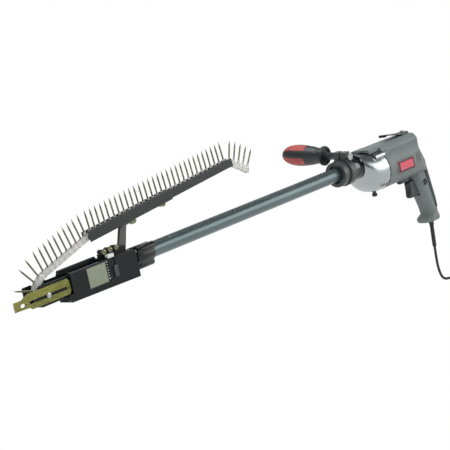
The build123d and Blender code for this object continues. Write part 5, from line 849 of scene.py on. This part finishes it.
def dome_head(radius, rise):
    """A low domed screw head with a cross recess, standing on +Z."""
    rows = [(share * radius, up * rise, CROSS) for share, up in DOME_RECESS]
    rows += [(share * radius, rise * (1 - share ** 2), PLAIN) for share in DOME_CROWN]
    rows += [(radius, DOME_ROOT * rise, PLAIN), (0.0, DOME_ROOT * rise, PLAIN)]
    return skin([ring(*row) for row in rows])


def dome_heads(name, node, rise, material, body):
    """Domed heads on the near ends of a node's screws, which lie across the tool."""
    parts = []
    for places in solids_of(node):
        low, high = places.min(axis=0), places.max(axis=0)
        radius = (high[0] - low[0]) / 2 / MM
        spot = ((low[0] + high[0]) / 2, low[1], (low[2] + high[2]) / 2)
        parts.append(set_at(dome_head(radius, rise), spot, (0, -1, 0)))
    piece(name, parts, material, body)


dome_heads(
    "bracket_screw_domes", "rail_screws", BRACKET_DOME_RISE, bracket_zinc, "tool"
)
dome_heads(
    "nosepiece_screw_dome", "nosepiece_screw", NOSEPIECE_DOME_RISE, bright_zinc, "slider"
)

# Stage: pale floor below the put-away cord, and soft lamps
FLOOR_GAP = 0.5 * MM
FLOOR_HALF = 12.0
floor_z = cad_low.z - FLOOR_GAP
floor_mesh = bpy.data.meshes.new("floor")
floor_corners = [(x * FLOOR_HALF, y * FLOOR_HALF, floor_z) for x, y in ((-1, -1), (1, -1), (1, 1), (-1, 1))]
floor_mesh.from_pydata(floor_corners, [], [(0, 1, 2, 3)])
floor = bpy.data.objects.new("floor", floor_mesh)
scene.collection.objects.link(floor)

floor_paint, floor_tree, floor_shader = new_material("white_paper_sweep")
floor_shader.inputs["Base Color"].default_value = linear("#ffffff")
floor_shader.inputs["Roughness"].default_value = 0.9
rays = add(floor_tree, "ShaderNodeLightPath")
seen_plain = add(
    floor_tree,
    "ShaderNodeMath",
    {0: rays.outputs["Is Camera Ray"], 1: rays.outputs["Is Glossy Ray"]},
    operation="ADD",
    use_clamp=True,
)
seen = add(
    floor_tree,
    "ShaderNodeMath",
    {0: seen_plain.outputs["Value"], 1: rays.outputs["Is Transmission Ray"]},
    operation="ADD",
    use_clamp=True,
)
glow = add(floor_tree, "ShaderNodeEmission", {"Color": linear("#ffffff"), "Strength": 1.0})
paper = add(
    floor_tree,
    "ShaderNodeMixShader",
    {0: seen.outputs["Value"], 1: floor_shader.outputs["BSDF"], 2: glow.outputs["Emission"]},
)
floor_tree.links.new(paper.outputs["Shader"], floor_tree.nodes["Material Output"].inputs["Surface"])
floor_mesh.materials.append(floor_paint)

world = bpy.data.worlds.new("white_studio")
scene.world = world
world.use_nodes = True
sky = world.node_tree
sky.nodes.clear()
sky_rays = add(sky, "ShaderNodeLightPath")
sky_plain = add(
    sky,
    "ShaderNodeMath",
    {0: sky_rays.outputs["Is Camera Ray"], 1: sky_rays.outputs["Is Transmission Ray"]},
    operation="ADD",
    use_clamp=True,
)
# Smooth faces mirror the white sweep that rises behind the tool, and the dim room elsewhere.
# Its edge is soft, between two cosines off its middle.
SWEEP_WAY = (0.707, 0.707, 0.0)
SWEEP_EDGE = (0.86, 0.95)
ROOM_LIGHT = 0.17
sky_way = add(sky, "ShaderNodeTexCoord").outputs["Generated"]
towards = add(sky, "ShaderNodeVectorMath", {0: sky_way, 1: SWEEP_WAY}, operation="DOT_PRODUCT")
sweep = add(
    sky,
    "ShaderNodeMapRange",
    {"Value": towards.outputs["Value"], "From Min": SWEEP_EDGE[0], "From Max": SWEEP_EDGE[1]},
)
mirrored = add(
    sky,
    "ShaderNodeMath",
    {0: sky_rays.outputs["Is Glossy Ray"], 1: sweep.outputs["Result"]},
    operation="MULTIPLY",
)
sky_seen = add(
    sky,
    "ShaderNodeMath",
    {0: sky_plain.outputs["Value"], 1: mirrored.outputs["Value"]},
    operation="ADD",
    use_clamp=True,
)
dim = add(sky, "ShaderNodeBackground", {"Color": linear("#f4f6f6"), "Strength": ROOM_LIGHT})
white = add(sky, "ShaderNodeBackground", {"Color": linear("#ffffff"), "Strength": 1.0})
sky_mix = add(
    sky,
    "ShaderNodeMixShader",
    {0: sky_seen.outputs["Value"], 1: dim.outputs["Background"], 2: white.outputs["Background"]},
)
add(sky, "ShaderNodeOutputWorld", {"Surface": sky_mix.outputs["Shader"]})


TOOL_MIDDLE = Vector((-0.45, 0.0, 0.08))


def soft_lamp(name, place, size, power):
    """An area lamp that looks at the middle of the tool, with its power in watts."""
    lamp = bpy.data.lights.new(name, "AREA")
    lamp.shape = "RECTANGLE"
    lamp.size, lamp.size_y = size
    lamp.energy = power
    lamp_object = bpy.data.objects.new(name, lamp)
    lamp_object.location = place
    way = TOOL_MIDDLE - Vector(place)
    lamp_object.rotation_euler = way.to_track_quat("-Z", "Y").to_euler()
    scene.collection.objects.link(lamp_object)


soft_lamp("key_softbox", place=(-1.4, -1.5, 2.1), size=(1.6, 0.6), power=36.0)
soft_lamp("top_softbox", place=(-0.2, 0.4, 1.9), size=(2.0, 0.8), power=27.0)
soft_lamp("rear_fill", place=(1.1, -1.5, 0.55), size=(2.0, 1.2), power=20.0)

scene.view_settings.view_transform = "Standard"
